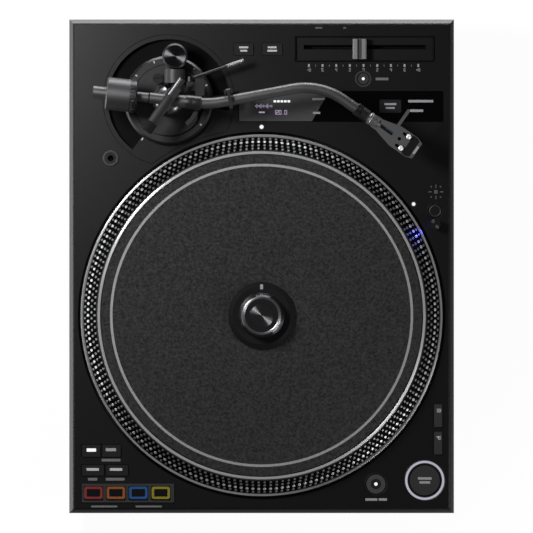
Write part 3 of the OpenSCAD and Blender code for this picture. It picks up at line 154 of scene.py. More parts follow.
powderCoat = surface("satin powder coated steel", {  # sprayed and baked: an even satin black with a very fine grain
    "colour": "#050506", "shade": "#070708", "grainMm": 1.2, "depthMm": 0.003, "rough": (0.32, 0.36), "gloss": 0.315})
grainedAbs = surface("grained ABS", {  # moulded in an etched tool: dull black, slightly sparkling
    "colour": "#050506", "shade": "#080809", "grainMm": 1.0, "depthMm": 0.01, "rough": (0.42, 0.5), "gloss": 0.2})
buttonAbs = surface("satin moulded ABS", {  # smooth tool, satin: a little lighter than the deck
    "colour": "#202021", "shade": "#242425", "grainMm": 0.8, "depthMm": 0.006, "rough": (0.42, 0.5), "gloss": 0.35})
keyAbs = surface("dark satin ABS", {  # small keys: barely lighter than the deck
    "colour": "#121213", "shade": "#161617", "grainMm": 0.8, "depthMm": 0.006, "rough": (0.5, 0.58), "gloss": 0.15})
paleAbs = surface("light satin ABS", {  # the round motor key, and a darker strip in the silver knob's groove as painted shade: a paler grey
    "colour": "#333334", "shade": "#383839", "grainMm": 0.8, "depthMm": 0.006, "rough": (0.42, 0.5), "gloss": 0.35})
siliconeRubber = surface("moulded silicone rubber", {  # soft key mat and port mouths: dull, with a waxy sheen
    "colour": "#030304", "shade": "#050506", "grainMm": 0.7, "depthMm": 0.01, "rough": (0.6, 0.75), "gloss": 0.1})
footRubber = surface("moulded elastomer", {  # foot pads and soft caps, and the arm's black band of painted shade: dead matt
    "colour": "#080809", "shade": "#0c0c0d", "grainMm": 0.9, "depthMm": 0.03, "rough": (0.7, 0.85), "gloss": 0.15})
footAbs = surface("turned look ABS", {  # foot cups: satin dark grey
    "colour": "#232325", "shade": "#29292b", "grainMm": 0.8, "depthMm": 0.01, "rough": (0.4, 0.52)})
armLacquer = surface("satin lacquered die casting", {  # sprayed zinc: smooth, soft highlights
    "colour": "#0e0e0f", "shade": "#121213", "grainMm": 1.4, "depthMm": 0.0015, "rough": (0.34, 0.4), "gloss": 0.4})
yokeLacquer = surface("wrinkle lacquered casting", {  # baked on the yoke: dull, with soft edges of light
    "colour": "#0c0c0d", "shade": "#101011", "grainMm": 0.9, "depthMm": 0.006, "rough": (0.5, 0.6), "gloss": 0.25})
clampAbs = surface("soft touch coated ABS", {  # rubbery paint on the clamp: black without sparkle
    "colour": "#121212", "shade": "#151515", "grainMm": 0.9, "depthMm": 0.004, "rough": (0.6, 0.7), "gloss": 0.07})
shadeLining = surface("black shade lining", {  # dead black sheet in the arm recess and round the fader: painted shade of their hollows and edges
    "colour": "#080808", "shade": "#0a0a0a", "grainMm": 0.6, "depthMm": 0.05, "rough": (0.85, 0.95), "gloss": 0.1})
tubeAluminium = surface("anodised aluminium tube", {  # drawn and anodised: smooth grey with long highlights
    "colour": "#4e4e4f", "shade": "#555556", "grainMm": 1.5, "depthMm": 0.0004, "rough": (0.45, 0.5), "metal": 0.9})
blackAnodised = surface("black anodised aluminium", {  # bead blasted, then dyed: dark with a dry sheen
    "colour": "#29292b", "shade": "#303032", "grainMm": 0.6, "depthMm": 0.012, "rough": (0.34, 0.44), "metal": 0.85})
weightSteel = surface("nickel plated weight", {  # turned steel under dark nickel: broad soft bands
    "colour": "#484849", "shade": "#4f4f50", "grainMm": 1.0, "depthMm": 0.0006, "rough": (0.46, 0.52), "metal": 1.0})
screwSteel = surface("nickel plated screw", {  # small machine screws: bright
    "colour": "#c4c5c8", "shade": "#d0d1d3", "grainMm": 0.8, "depthMm": 0.003, "rough": (0.16, 0.24), "metal": 1.0})
satinSilver = surface("bead blasted aluminium", {  # clear anodised trim: pale, even sheen
    "colour": "#a6a7aa", "shade": "#b2b3b6", "grainMm": 0.6, "depthMm": 0.006, "rough": (0.3, 0.4), "metal": 1.0})
acrylic = surface("polished acrylic window", {  # black backed and polished: deep and glossy
    "colour": "#020202", "shade": "#030303", "grainMm": 8.0, "depthMm": 0.0006, "rough": (0.08, 0.12), "gloss": 0.12})
smokedAcrylic = surface("smoked acrylic", {  # the grey part of the window, partly a painted reflection, and the strobe tower's painted highlights: grey and slightly satin
    "colour": "#343435", "shade": "#393939", "grainMm": 3.0, "depthMm": 0.001, "rough": (0.3, 0.38)})
cueSilver = surface("satin chrome plated lever", {  # plated grip, and the yoke's rail that is partly a painted highlight: a soft grey shine
    "colour": "#6c6c6e", "shade": "#777779", "grainMm": 0.8, "depthMm": 0.003, "rough": (0.3, 0.38), "metal": 1.0})
# Screen printed inks: thin greys, slightly uneven
dimInk, midInk, brightInk, faintInk, startInk = (surface(ink, {
    "colour": tone, "shade": shade, "grainMm": 0.5, "depthMm": 0.002, "rough": (0.5, 0.6)}) for ink, tone, shade in (
        ("dark screen printed ink", "#525254", "#5b5b5d"),  # the quiet grey lines on the deck
        ("grey screen printed ink", "#808084", "#8a8a8e"),  # key legends, half bright
        ("light screen printed ink", "#9e9ea2", "#aaaaae"),  # key legends that stand out
        ("dull screen printed ink", "#3a3a3d", "#414144"),  # marks that barely show on the deck
        ("pad printed legend", "#7c7c80", "#86868a")))  # grey print on the start key
brass = surface("machined brass", {  # threads and bushes: warm and smooth
    "colour": "#9c8247", "shade": "#a88e52", "grainMm": 0.8, "depthMm": 0.004, "rough": (0.25, 0.35), "metal": 1.0})
goldPlate = surface("gold plated contact", {  # jack barrels and lead tags: a warm shine
    "colour": "#c39a4a", "shade": "#cda65a", "grainMm": 0.8, "depthMm": 0.002, "rough": (0.18, 0.26), "metal": 1.0})
portSteel = surface("tin plated port shell", {  # folded and tinned sheet: a dull grey
    "colour": "#67696c", "shade": "#707275", "grainMm": 1.0, "depthMm": 0.004, "rough": (0.45, 0.55), "metal": 0.8})
boardLaminate = surface("glass epoxy board", {  # green solder mask: an even sheen
    "colour": "#174a30", "shade": "#1d5638", "grainMm": 0.9, "depthMm": 0.01, "rough": (0.35, 0.5)})
copperWire = surface("enamelled copper winding", {  # wound wire: a brown gloss
    "colour": "#8a4526", "shade": "#9a5230", "grainMm": 0.5, "depthMm": 0.05, "rough": (0.3, 0.4), "metal": 0.8})
castAlloy = surface("sand cast alloy", {  # rough from the mould: grey and dry
    "colour": "#77766f", "shade": "#83827b", "grainMm": 0.9, "depthMm": 0.04, "rough": (0.45, 0.6), "metal": 1.0})
ferrite = surface("sintered ferrite", {  # pressed powder: dull dark brown
    "colour": "#2b2927", "shade": "#33302e", "grainMm": 0.4, "depthMm": 0.02, "rough": (0.6, 0.75)})
capAluminium = turnedMetal("turned black anodised cap", {  # rings of the tool show as cones of light
    "colour": "#5e5e60", "shade": "#6c6c6e", "ringMm": 0.5, "depthMm": 0.002, "rough": (0.25, 0.29), "drawn": 1.0,
    "centreMm": spindle})
ringAluminium = turnedMetal("diamond cut ring", {  # bright cut edge of the clamp's cap
    "colour": "#8e8f93", "shade": "#9c9da1", "ringMm": 0.5, "depthMm": 0.003, "rough": (0.36, 0.42), "drawn": 0.8,
    "centreMm": spindle})
knobAluminium = turnedMetal("turned anodised knob", {  # spun face: cones of light on grey
    "colour": "#3a3a3c", "shade": "#464648", "ringMm": 0.5, "depthMm": 0.001, "rough": (0.25, 0.29), "drawn": 1.0,
    "centreMm": skateKnob})
blackCasting = surface("black lacquered casting", {  # cast platter under satin lacquer
    "colour": "#0e0e10", "shade": "#121214", "grainMm": 0.9, "depthMm": 0.006, "rough": (0.38, 0.48)})
shellAnodised = surface("grey anodised headshell", {  # pressed and bead blasted: soft mid grey
    "colour": "#49494a", "shade": "#515152", "grainMm": 0.7, "depthMm": 0.004, "rough": (0.4, 0.48), "metal": 0.4})
faderSilver = surface("silver painted cap", {  # metallic paint on a moulded cap
    "colour": "#7c7c7d", "shade": "#868687", "grainMm": 0.6, "depthMm": 0.003, "rough": (0.34, 0.42), "metal": 0.5})
blackBand = surface("black lacquered band", {  # sprayed into the turned recess: matt, nearly black
    "colour": "#010101", "shade": "#020202", "grainMm": 0.9, "depthMm": 0.003, "rough": (0.7, 0.8), "gloss": 0.02})
dotAluminium = surface("polished dot", {  # bare domes left proud of the lacquer: small grey points
    "colour": "#444445", "shade": "#4e4e4f", "grainMm": 0.8, "depthMm": 0.001, "rough": (0.36, 0.44), "metal": 0.2})
brightDot = surface("diamond polished dot", {  # the row of widest dots, made paler than the other rows
    "colour": "#8e8e8e", "shade": "#989898", "grainMm": 0.8, "depthMm": 0.001, "rough": (0.26, 0.34), "metal": 0.3})
rimAluminium = turnedMetal("diamond cut rim", {  # fresh cut edge: a thin pale line
    "colour": "#b4b4b4", "shade": "#bebebe", "ringMm": 0.6, "depthMm": 0.0005, "rough": (0.28, 0.34), "drawn": 0.95,
    "centreMm": spindle, "metal": 0.55})
edgeAluminium = turnedMetal("turned edge", {  # the outer edge, turned but not polished: a greyer line
    "colour": "#9c9c9c", "shade": "#a6a6a6", "ringMm": 0.6, "depthMm": 0.0005, "rough": (0.32, 0.38), "drawn": 0.95,
    "centreMm": spindle, "metal": 0.6})
polishedNickel = surface("polished nickel", {  # buffed dome of the pivot: dark mirror with one hot spot
    "colour": "#6e6e70", "shade": "#757577", "grainMm": 4.0, "depthMm": 0.0004, "rough": (0.26, 0.32), "metal": 1.0})
zincScrewAndGlint = surface("bright zinc plated screw", {  # small domed heads: a nearly white colour, partly a painted highlight of the plated domes
    "colour": "#e6e6e6", "shade": "#efefef", "grainMm": 0.8, "depthMm": 0.001, "rough": (0.2, 0.28), "metal": 0.3})
startLight = litLens("lit opal ring", {"colour": "#b9b6c4", "shade": "#a7a4b2", "glowMm": 14, "strength": 1.0})
whiteLight = litLens("lit white lens", {"colour": "#ffffff", "shade": "#f6f8ff", "glowMm": 3, "strength": 1.0})
displayLight = litLens("display pixels", {"colour": "#b3a4bf", "shade": "#8d7f9a", "glowMm": 2, "strength": 1.0})
strobeLight = litLens("blue strobe lens", {"colour": "#4a4dff", "shade": "#3a3cff", "glowMm": 3, "strength": 6.0})
print("materials made:", len(bpy.data.materials))

# Felt: a grey nap of short fibres, drawn coarser than life so that it shows, with one pale ring printed on it
feltLook = {"colour": "#131313", "shade": "#343434", "fibreMm": 1.6, "tuftMm": 2.8, "fibreShare": 0.6, "depthMm": 0.4,
            "ring": (136.65, 138.95), "ink": "#868688"}


def feltMaterial(name, look):
    material, tree, where = newMaterial(name)
    fibre = addNode(tree, "ShaderNodeTexNoise", {"Scale": 1000 / look["fibreMm"], "Detail": 4.0, "Roughness": 0.7},
                    {"Vector": where})
    tuft = addNode(tree, "ShaderNodeTexNoise", {"Scale": 1000 / look["tuftMm"], "Detail": 2.0}, {"Vector": where})
    soft = addNode(tree, "ShaderNodeMath", {"operation": "MULTIPLY", 1: 1 - look["fibreShare"]},
                   {0: tuft.outputs["Fac"]})
    nap = addNode(tree, "ShaderNodeMath", {"operation": "MULTIPLY_ADD", 1: look["fibreShare"]},
                  {0: fibre.outputs["Fac"], 2: soft.outputs[0]})
    spread = addNode(tree, "ShaderNodeMapRange", {"From Min": 0.36, "From Max": 0.64}, {"Value": nap.outputs[0]})
    cloth = addNode(tree, "ShaderNodeMix", {"data_type": "RGBA", 6: linear(look["colour"]), 7: linear(look["shade"])},
                    {0: spread.outputs["Result"]})
    inner, outer = (r / 1000 for r in look["ring"])
    onRing = addNode(tree, "ShaderNodeMath", {"operation": "COMPARE", 1: (inner + outer) / 2, 2: (outer - inner) / 2},
                     {0: fromAxis(tree, where, spindle)})
    worn = addNode(tree, "ShaderNodeMapRange", {"From Min": 0.3, "From Max": 0.5, "To Min": 0.65, "To Max": 1.0},
                   {"Value": fibre.outputs["Fac"]})
    ink = addNode(tree, "ShaderNodeMath", {"operation": "MULTIPLY"}, {0: onRing.outputs[0], 1: worn.outputs["Result"]})
    tint = addNode(tree, "ShaderNodeMix", {"data_type": "RGBA", 7: linear(look["ink"])},
                   {0: ink.outputs[0], 6: cloth.outputs[2]})
    bump = addNode(tree, "ShaderNodeBump", {"Strength": 0.7, "Distance": look["depthMm"] / 1000},
                   {"Height": nap.outputs[0]})
    shader = addNode(tree, "ShaderNodeBsdfPrincipled", {
        "Roughness": 0.95, "Specular IOR Level": 0.08, "Sheen Weight": 0.06, "Sheen Roughness": 0.6},
        {"Base Color": tint.outputs[2], "Normal": bump.outputs["Normal"]})
    addNode(tree, "ShaderNodeOutputMaterial", None, {"Surface": shader.outputs["BSDF"]})
    return material


pressedFelt = feltMaterial("pressed wool felt", feltLook)
padFrames = {pad: surface(colour + " silicone rubber", {  # pad surrounds: tinted silicone, deep and a little dusty
    "colour": tone, "shade": shade, "grainMm": 0.7, "depthMm": 0.01, "rough": (0.5, 0.62), "gloss": 0.25})
    for pad, colour, tone, shade in (
        ("pad_1", "red", "#631918", "#6d1f1e"), ("pad_2", "orange", "#6f3c10", "#7a4416"),
        ("pad_3", "blue", "#0a3a6c", "#104477"), ("pad_4", "yellow", "#69640a", "#746e11"))}
leadSheath = {colour: surface(colour + " vinyl sheath", {  # thin soft vinyl over stranded wire
    "colour": tone, "shade": shade, "grainMm": 0.6, "depthMm": 0.006, "rough": (0.35, 0.45)})
    for colour, tone, shade in (("red", "#471311", "#521715"), ("green", "#1d6132", "#246d3a"),
                                ("white", "#b9b9b6", "#c6c6c3"), ("blue", "#163845", "#1b424f"))}

# Finish of each CAD node; a node that isn't named here is satin ABS
finishes = {
    "top_cabinet": powderCoat, "base_chassis": grainedAbs, "foot_cups": footAbs, "foot_pads": footRubber,
    "case_screws": screwSteel, "rear_sockets": portSteel, "power_switch": grainedAbs, "circuit_boards": boardLaminate,
    "motor_off_button": paleAbs, "lamp_button": grainedAbs, "mode_button": keyAbs, "range_button": keyAbs,
    "key_button": keyAbs, "motor_stator": copperWire, "bearing_housing": castAlloy, "arm_well": powderCoat,
    "fader_unit": grainedAbs, "display_window": acrylic, "light_guides": smokedAcrylic, "strobe_lamp": grainedAbs,
    "platter": blackCasting, "spindle": screwSteel, "rotor_magnet": ferrite, "clamp_disc": clampAbs,
    "clamp_cap": capAluminium, "anti_skate_housing": buttonAbs, "height_lock": grainedAbs,
    "anti_skate_knob": knobAluminium, "gimbal_yoke": yokeLacquer, "pivot_screws": screwSteel,
    "arm_tube": tubeAluminium, "headshell": shellAnodised, "cartridge": grainedAbs, "stylus": satinSilver,
    "cartridge_screws": weightSteel, "counterweight_sleeve": brass, "counterweight": weightSteel,
    "force_ring": blackAnodised, "tempo_knob": faderSilver,
    **{f"function_button_{k}": keyAbs for k in range(1, 5)}, **{f"pad_{k}": siliconeRubber for k in range(1, 5)},
    **{part: armLacquer for part in ("height_ring", "arm_platform", "arm_rest", "cue_lever", "arm_lifter", "arm_clip")}}
for name, node in nodes.items():
    node.data.materials.clear()
    node.data.materials.append(finishes.get(name, buttonAbs))
    node.data.shade_smooth()
    node.data.set_sharp_from_angle(angle=math.radians(30))
print("frame painted:", len(finishes), "named finishes")

seatMm = 0.05  # how deep a trim sits in the surface that carries it


# One mesh piece from a building function, riding on a body; sizes inside are millimetres
def makePiece(name, body, materials, build):
    mesh = bpy.data.meshes.new(name)
    shape = bmesh.new()
    build(shape)
    bmesh.ops.scale(shape, vec=(0.001, 0.001, 0.001), verts=shape.verts)
    bmesh.ops.recalc_face_normals(shape, faces=shape.faces)
    shape.to_mesh(mesh)
    shape.free()
    for material in materials if isinstance(materials, list) else [materials]:
        mesh.materials.append(material)
    mesh.shade_smooth()
    mesh.set_sharp_from_angle(angle=math.radians(32))
    piece = bpy.data.objects.new(name, mesh)
    scene.collection.objects.link(piece)
    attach(piece, body)
    return piece


# Skin over rings of points: closed joins the last ring to the first, capped shuts the two ends
def joinRings(shape, rings, closed=False, capped=False, index=0):
    for a, b in zip(rings, rings[1:] + (rings[:1] if closed else [])):
        for i in range(len(a)):
            j = (i + 1) % len(a)
            corners = list(dict.fromkeys((a[i], a[j], b[j], b[i])))  # a ring may be one point on an axis
            if len(corners) > 2:
                shape.faces.new(corners).material_index = index
    if capped:
        shape.faces.new(list(reversed(rings[0]))).material_index = index
        shape.faces.new(rings[-1]).material_index = index


# Angles of a full turn in even steps
def fullTurn(steps):
    return [2 * math.pi * i / steps for i in range(steps)]


# A profile of (radius, height) turned round an upright axis; a closed profile makes a ring
def lathe(shape, profile, centre, steps=128, closed=False, index=0):
    rings = []
    for radius, height in profile:
        if radius <= 0:
            rings.append([shape.verts.new((*centre, height))] * steps)
        else:
            rings.append([shape.verts.new((centre[0] + radius * math.cos(turn), centre[1] + radius * math.sin(turn),
                                           height)) for turn in fullTurn(steps)])
    joinRings(shape, rings, closed, index=index)


# One turned ring, its profile given as (radius, height above a level)
def turnedRing(name, body, material, profile, centre, level, steps=128):
    raised = [(radius, level + height) for radius, height in profile]
    return makePiece(name, body, material, lambda shape: lathe(shape, raised, centre, steps, True))


# A point along, across and above an origin, in a frame turned to a heading in plan
def setOut(origin, headingDeg, along, across, up):
    turn = math.radians(headingDeg)
    return (origin[0] + along * math.cos(turn) - across * math.sin(turn),
            origin[1] + along * math.sin(turn) + across * math.cos(turn), origin[2] + up)


# A closed profile of (radius, distance) turned round a level axis; notch cuts every other step into a knurl
def axle(shape, profile, origin, headingDeg, steps=48, notch=0.0, index=0):
    rings = []
    for k, (radius, distance) in enumerate(profile):
        cut = notch if 0 < k < len(profile) - 3 else 0.0
        sizes = [radius - cut * (i % 2) for i in range(steps)]
        rings.append([shape.verts.new(setOut(origin, headingDeg, distance, r * math.cos(turn), r * math.sin(turn)))
                      for r, turn in zip(sizes, fullTurn(steps))])
    joinRings(shape, rings, True, index=index)


def sleeve(name, body, material, slotName, profile, origin, headingDeg, steps, notch=0.0):
    return makePiece(name, body, material,
                     lambda shape: axle(shape, profile, origin, headingDeg, steps, notch))


fourCorners = ((1, 1), (-1, 1), (-1, -1), (1, -1))


def roundRect(centre, width, depth, corner, steps=5):
    points = []
    for turn, (sx, sy) in enumerate(fourCorners):
        cx, cy = centre[0] + sx * (width / 2 - corner), centre[1] + sy * (depth / 2 - corner)
        for i in range(steps + 1):
            angle = math.pi / 2 * (turn + i / steps)
            points.append((cx + corner * math.cos(angle), cy + corner * math.sin(angle)))
    return points


# The outline drawn in by a small distance, for an eased edge
def drawnIn(outline, distance):
    result = []
    for i, point in enumerate(outline):
        before, after = outline[i - 1], outline[(i + 1) % len(outline)]
        along = Vector((after[0] - before[0], after[1] - before[1])).normalized()
        result.append((point[0] - along.y * distance, point[1] + along.x * distance))
    return result


# A flat piece with an eased top edge; hole is an inner outline with as many points as the outer one
def plate(shape, outline, low, high, ease, hole=None):
    levels = [(outline, low), (outline, high - ease), (drawnIn(outline, ease), high)]
    if hole:
        levels += [(drawnIn(hole, -ease), high), (hole, high - ease), (hole, low)]
    rings = [[shape.verts.new((x, y, z)) for x, y in points] for points, z in levels]
    joinRings(shape, rings, bool(hole), not hole)


def flatPiece(name, body, material, slotName, outline, low, high, ease, hole=None):
    return makePiece(name, body, material, lambda shape: plate(shape, outline, low, high, ease, hole))


# A round bar through points that run fairly level, with a radius for each point; ends are closed
def bar(shape, points, radii, steps=16, index=0):
    points = [Vector(p) for p in points]
    rings, side = [], Vector((0, 0, 1))
    for i, (point, radius) in enumerate(zip(points, radii)):
        along = (points[min(i + 1, len(points) - 1)] - points[max(i - 1, 0)]).normalized()
        side = (side - along * side.dot(along)).normalized()
        other = along.cross(side)
        rings.append([shape.verts.new(point + radius * (side * math.cos(turn) + other * math.sin(turn)))
                      for turn in fullTurn(steps)])
    joinRings(shape, rings, False, True, index)


# Platter: the black strobe band and its domed dots, in rows of (count, radius, half size, tone)
bandSetup = {"outer": 163.6, "inner": 151.6, "foot": 104.8, "rise": 13.6, "skin": 0.14, "inset": 0.15, "sink": 0.05,
             "rows": ((174, 153.1, 1.25, 0), (180, 155.9, 1.35, 0), (186, 159.2, 1.5, 1), (192, 162.0, 1.3, 0)),
             "dotSink": 0.04, "crown": 0.42, "shoulder": (0.78, 0.7), "squat": 0.8, "dotSteps": 8}
bandWidth = bandSetup["outer"] - bandSetup["inner"]


def bandHeight(radius):
    return bandSetup["foot"] + (bandSetup["outer"] - radius) * bandSetup["rise"] / bandWidth


def buildBand(shape):
    outer, inner = bandSetup["outer"] - bandSetup["inset"], bandSetup["inner"] + bandSetup["inset"]
    low, high = -bandSetup["sink"], bandSetup["skin"]
    lathe(shape, [(radius, bandHeight(radius) + lift) for radius, lift in (
        (outer, low), (outer, high), (inner, high), (inner, low))], spindle, 256, True)


def buildDots(shape):
    slope = math.atan2(bandSetup["rise"], bandWidth)
    crown, (shoulder, part) = bandSetup["crown"], bandSetup["shoulder"]
    for row, (count, radius, size, tone) in enumerate(bandSetup["rows"]):
        drop = size * bandSetup["squat"] / math.cos(slope)
        level = bandHeight(radius) + bandSetup["skin"] - bandSetup["dotSink"]
        for k in range(count):
            turn = 2 * math.pi * (k + 0.5 * (row % 2)) / count
            out = Vector((math.cos(turn), math.sin(turn), 0))
            side = Vector((-out.y, out.x, 0))
            normal = out * math.sin(slope) + Vector((0, 0, math.cos(slope)))
            down = out * math.cos(slope) - Vector((0, 0, math.sin(slope)))
            seat = Vector((*spindle, level)) + out * radius
            outline = [side * size * math.cos(a) + down * drop * math.sin(a)
                       for a in fullTurn(bandSetup["dotSteps"])]
            rings = [[shape.verts.new(seat + normal * lift + point * share) for point in outline]
                     for share, lift in ((1.0, 0.0), (shoulder, crown * part))]
            rings.append([shape.verts.new(seat + normal * crown)] * len(outline))
            joinRings(shape, rings, index=tone)


makePiece("strobe_band", "platter", blackBand, buildBand)
makePiece("strobe_dots", "platter", [dotAluminium, brightDot], buildDots)

# A low bead cut on each of the platter's edges: (inner, outer, level)
rimSetup = {"lip": (148.05, 150.45, 119.0), "edge": (163.7, 165.75, 104.2), "crown": 0.3, "ease": 0.15, "sink": 0.05}


def buildRims(shape):
    crown, ease, sink = (rimSetup[k] for k in ("crown", "ease", "sink"))
    for index, edge in enumerate(("lip", "edge")):
        inner, outer, seat = rimSetup[edge]
        lathe(shape, [(inner, seat - sink), (inner + ease, seat + crown / 2), ((inner + outer) / 2, seat + crown),
                      (outer - ease, seat + crown / 2), (outer, seat - sink)], spindle, 256, True, index)


makePiece("platter_rims", "platter", [rimAluminium, edgeAluminium], buildRims)

# Felt mat with soft edges
matSetup = {"radius": 147.2, "hole": 3.9, "low": 117.05, "high": 119.6, "soft": 0.7}


def buildMat(shape):
    r, hole, low, high, soft = (matSetup[k] for k in ("radius", "hole", "low", "high", "soft"))
    lathe(shape, [(hole, low), (r - soft, low), (r, low + soft), (r, high - soft), (r - 0.3 * soft, high - 0.25 * soft),
                  (r - soft, high), (hole + soft, high), (hole, high - soft)], spindle, 224, True)


feltMat = makePiece("felt_mat", "platter", pressedFelt, buildMat)
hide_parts("slipmat")

# Clamp: a skirt round the cap, a pale mark on the disc, and a bright ring beside a black channel on top
clampSetup = {"flat": 125.65, "flatEdge": 26.6, "fall": 0.8, "mark": (24.0, 28.5), "markWidth": 2.6, "markSkin": 0.09,
              "skirt": ((18.6, -0.05), (21.0, -0.05), (20.9, 0.25), (20.1, 0.75), (18.9, 1.0), (18.6, 1.0)),
              "capTop": 140.65, "ring": ((15.4, -0.05), (17.6, -0.05), (17.6, 0.05), (17.2, 0.3), (16.5, 0.4),
                                         (15.8, 0.3), (15.4, 0.05)),
              "channel": ((11.3, -0.05), (15.4, -0.05), (15.4, 0.04), (11.6, 0.04), (11.3, 0.02))}


def buildMark(shape):
    half, skin, bend = clampSetup["markWidth"] / 2, clampSetup["markSkin"], clampSetup["flatEdge"]
    rows = []
    for radius in (clampSetup["mark"][0], bend, clampSetup["mark"][1]):
        z = clampSetup["flat"] - max(0.0, radius - bend) * clampSetup["fall"]
        rows.append([shape.verts.new((spindle[0] + x, spindle[1] + radius, z + lift))
                     for x, lift in ((-half, -seatMm), (-half, skin), (half, skin), (half, -seatMm))])
    joinRings(shape, rows, capped=True)


turnedRing("clamp_skirt", "clamp", blackAnodised, clampSetup["skirt"], spindle, clampSetup["flat"])
makePiece("clamp_mark", "clamp", midInk, buildMark)
turnedRing("clamp_cap_ring", "clamp", ringAluminium, clampSetup["ring"], spindle, clampSetup["capTop"])
turnedRing("clamp_channel", "clamp", clampAbs, clampSetup["channel"], spindle, clampSetup["capTop"])
print("platter dressed:", sum(row[0] for row in bandSetup["rows"]), "strobe dots")


# Plain label bars: (x, y, width, depth) each, printed as one thin skin
inkSetup = {"sink": 0.06, "rise": 0.08, "ease": 0.03, "corner": 0.35}


def printBars(name, body, material, level, bars, corner=inkSetup["corner"]):
    def build(shape):
        for x, y, width, depth in bars:
            edge = min(corner, width / 2.05, depth / 2.05)
            plate(shape, roundRect((x, y), width, depth, edge, 3), level - inkSetup["sink"], level + inkSetup["rise"],
                  inkSetup["ease"])
    return makePiece(name, body, material, build)


# Strokes of each figure, by letter
segments = {"0": "abcdef", "1": "bc", "2": "abged", "3": "abgcd", "4": "fgbc", "5": "afgcd", "6": "afgedc",
            "8": "abcdefg", "-": "g", "+": "gm", ".": "p"}


# Numbers of a dial, drawn with short straight strokes
def numberBars(text, centre, height, stroke):
    width, pitch = height * 0.5, height * 0.72
    strokes = {"a": (0, 0.5, 1, 0), "g": (0, 0, 1, 0), "d": (0, -0.5, 1, 0), "f": (-0.5, 0.25, 0, 0.5),
               "b": (0.5, 0.25, 0, 0.5), "e": (-0.5, -0.25, 0, 0.5), "c": (0.5, -0.25, 0, 0.5), "m": (0, 0, 0, 0.6),
               "p": (0, -0.5, 0, 0)}
    bars = []
    for k, character in enumerate(text):
        x = centre[0] + (k - (len(text) - 1) / 2) * pitch
        for letter in segments[character]:
            dx, dy, across, up = strokes[letter]
            bars.append((x + dx * width, centre[1] + dy * height, across * width + stroke, up * height + stroke))
    return bars


deckTop, keyTop, guideTop = 100.0, 101.2, 100.5  # levels of the deck, the keys and the marker lamps

# Rolled edge of the deck: the folded sheet crowns a little over the chamfer, in steps of (inward, up)
edgeSetup = {"width": 353.0, "depth": 453.0, "foot": 95.2, "sink": 0.08, "steps": (
    (0.0, 0.0), (1.0, 1.235), (2.0, 2.425), (3.0, 3.535), (3.6, 4.095), (4.2, 4.515), (4.75, 4.76))}


def buildEdge(shape):
    crown, sink = list(edgeSetup["steps"]), edgeSetup["sink"]
    profile = crown + [(d + sink, d - sink) for d, _ in (crown[-1], crown[0])]
    joinRings(shape, [[shape.verts.new((sx * (edgeSetup["width"] / 2 - d), sy * (edgeSetup["depth"] / 2 - d),
                                        edgeSetup["foot"] + z)) for sx, sy in fourCorners] for d, z in profile], True)


makePiece("deck_edge", "chassis", powderCoat, buildEdge)

# Tempo scale: a wide tick with a number at every second step, thin lines between
tempoScale = {"start": 43.4, "pitch": 6.27, "y": 184.2, "wide": (1.7, 2.7), "thin": (0.6, 2.0), "numberY": 180.2,
              "height": 2.6, "stroke": 0.45, "numbers": ("-8", "6", "4", "2", "0", "2", "4", "6", "+8")}
wideTicks, thinTicks, tempoNumbers = [], [], []
for k in range(2 * len(tempoScale["numbers"]) - 1):
    x = tempoScale["start"] + k * tempoScale["pitch"]
    if k % 2 == 0:
        wideTicks.append((x, tempoScale["y"], *tempoScale["wide"]))
        tempoNumbers += numberBars(tempoScale["numbers"][k // 2], (x, tempoScale["numberY"]), tempoScale["height"],
                                   tempoScale["stroke"])
    else:
        thinTicks.append((x, tempoScale["y"], *tempoScale["thin"]))
# Plain bars on the deck, for the scale and beside the controls
deckPrint = {"tempo_scale_ticks": (midInk, wideTicks), "tempo_scale_lines": (dimInk, thinTicks),
             "tempo_scale_numbers": (midInk, tempoNumbers), "reset_label": (dimInk, [(110.5, 171.9, 11.7, 2.4)]),
             "rear_port_marks": (faintInk, [(52.4, 218.8, 6.4, 1.6), (76.3, 218.8, 2.8, 1.6)]),
             "motor_off_label": (midInk, [(100.7, -214.0, 11.0, 2.2), (111.2, -214.0, 7.6, 2.2)]),
             "function_labels": (dimInk, [(-138.2, -177.9, 17.2, 2.5), (-155.0, -195.4, 8.4, 2.5),
                                          (-134.4, -195.4, 17.2, 2.5)]),
             "pad_group_labels": (dimInk, [(-144.4, -220.4, 24.0, 1.7), (-103.6, -220.4, 24.0, 1.7)])}
for name, (ink, bars) in deckPrint.items():
    printBars(name, "chassis", ink, deckTop, bars)


# A rounded trim ring: (inner, outer) radius, from a low to a high level
def collar(name, body, material, centre, radii, low, high):
    inner, outer = radii
    profile = [(inner, low), (outer, low), (outer, high - 0.25), (outer - 0.25, high - 0.05),
               ((inner + outer) / 2, high), (inner + 0.25, high - 0.05), (inner, high - 0.25)]
    return turnedRing(name, body, material, profile, centre, 0.0, 96)


# A small clear lens with a domed face
def lens(name, body, material, centre, radius, level, dome=0.25):
    profile = [(0, level - 0.1), (radius, level - 0.1), (radius, level + 0.05), (radius * 0.8, level + dome * 0.7),
               (radius * 0.45, level + dome * 0.93), (0, level + dome)]
    return makePiece(name, body, material, lambda shape: lathe(shape, profile, centre, 40))


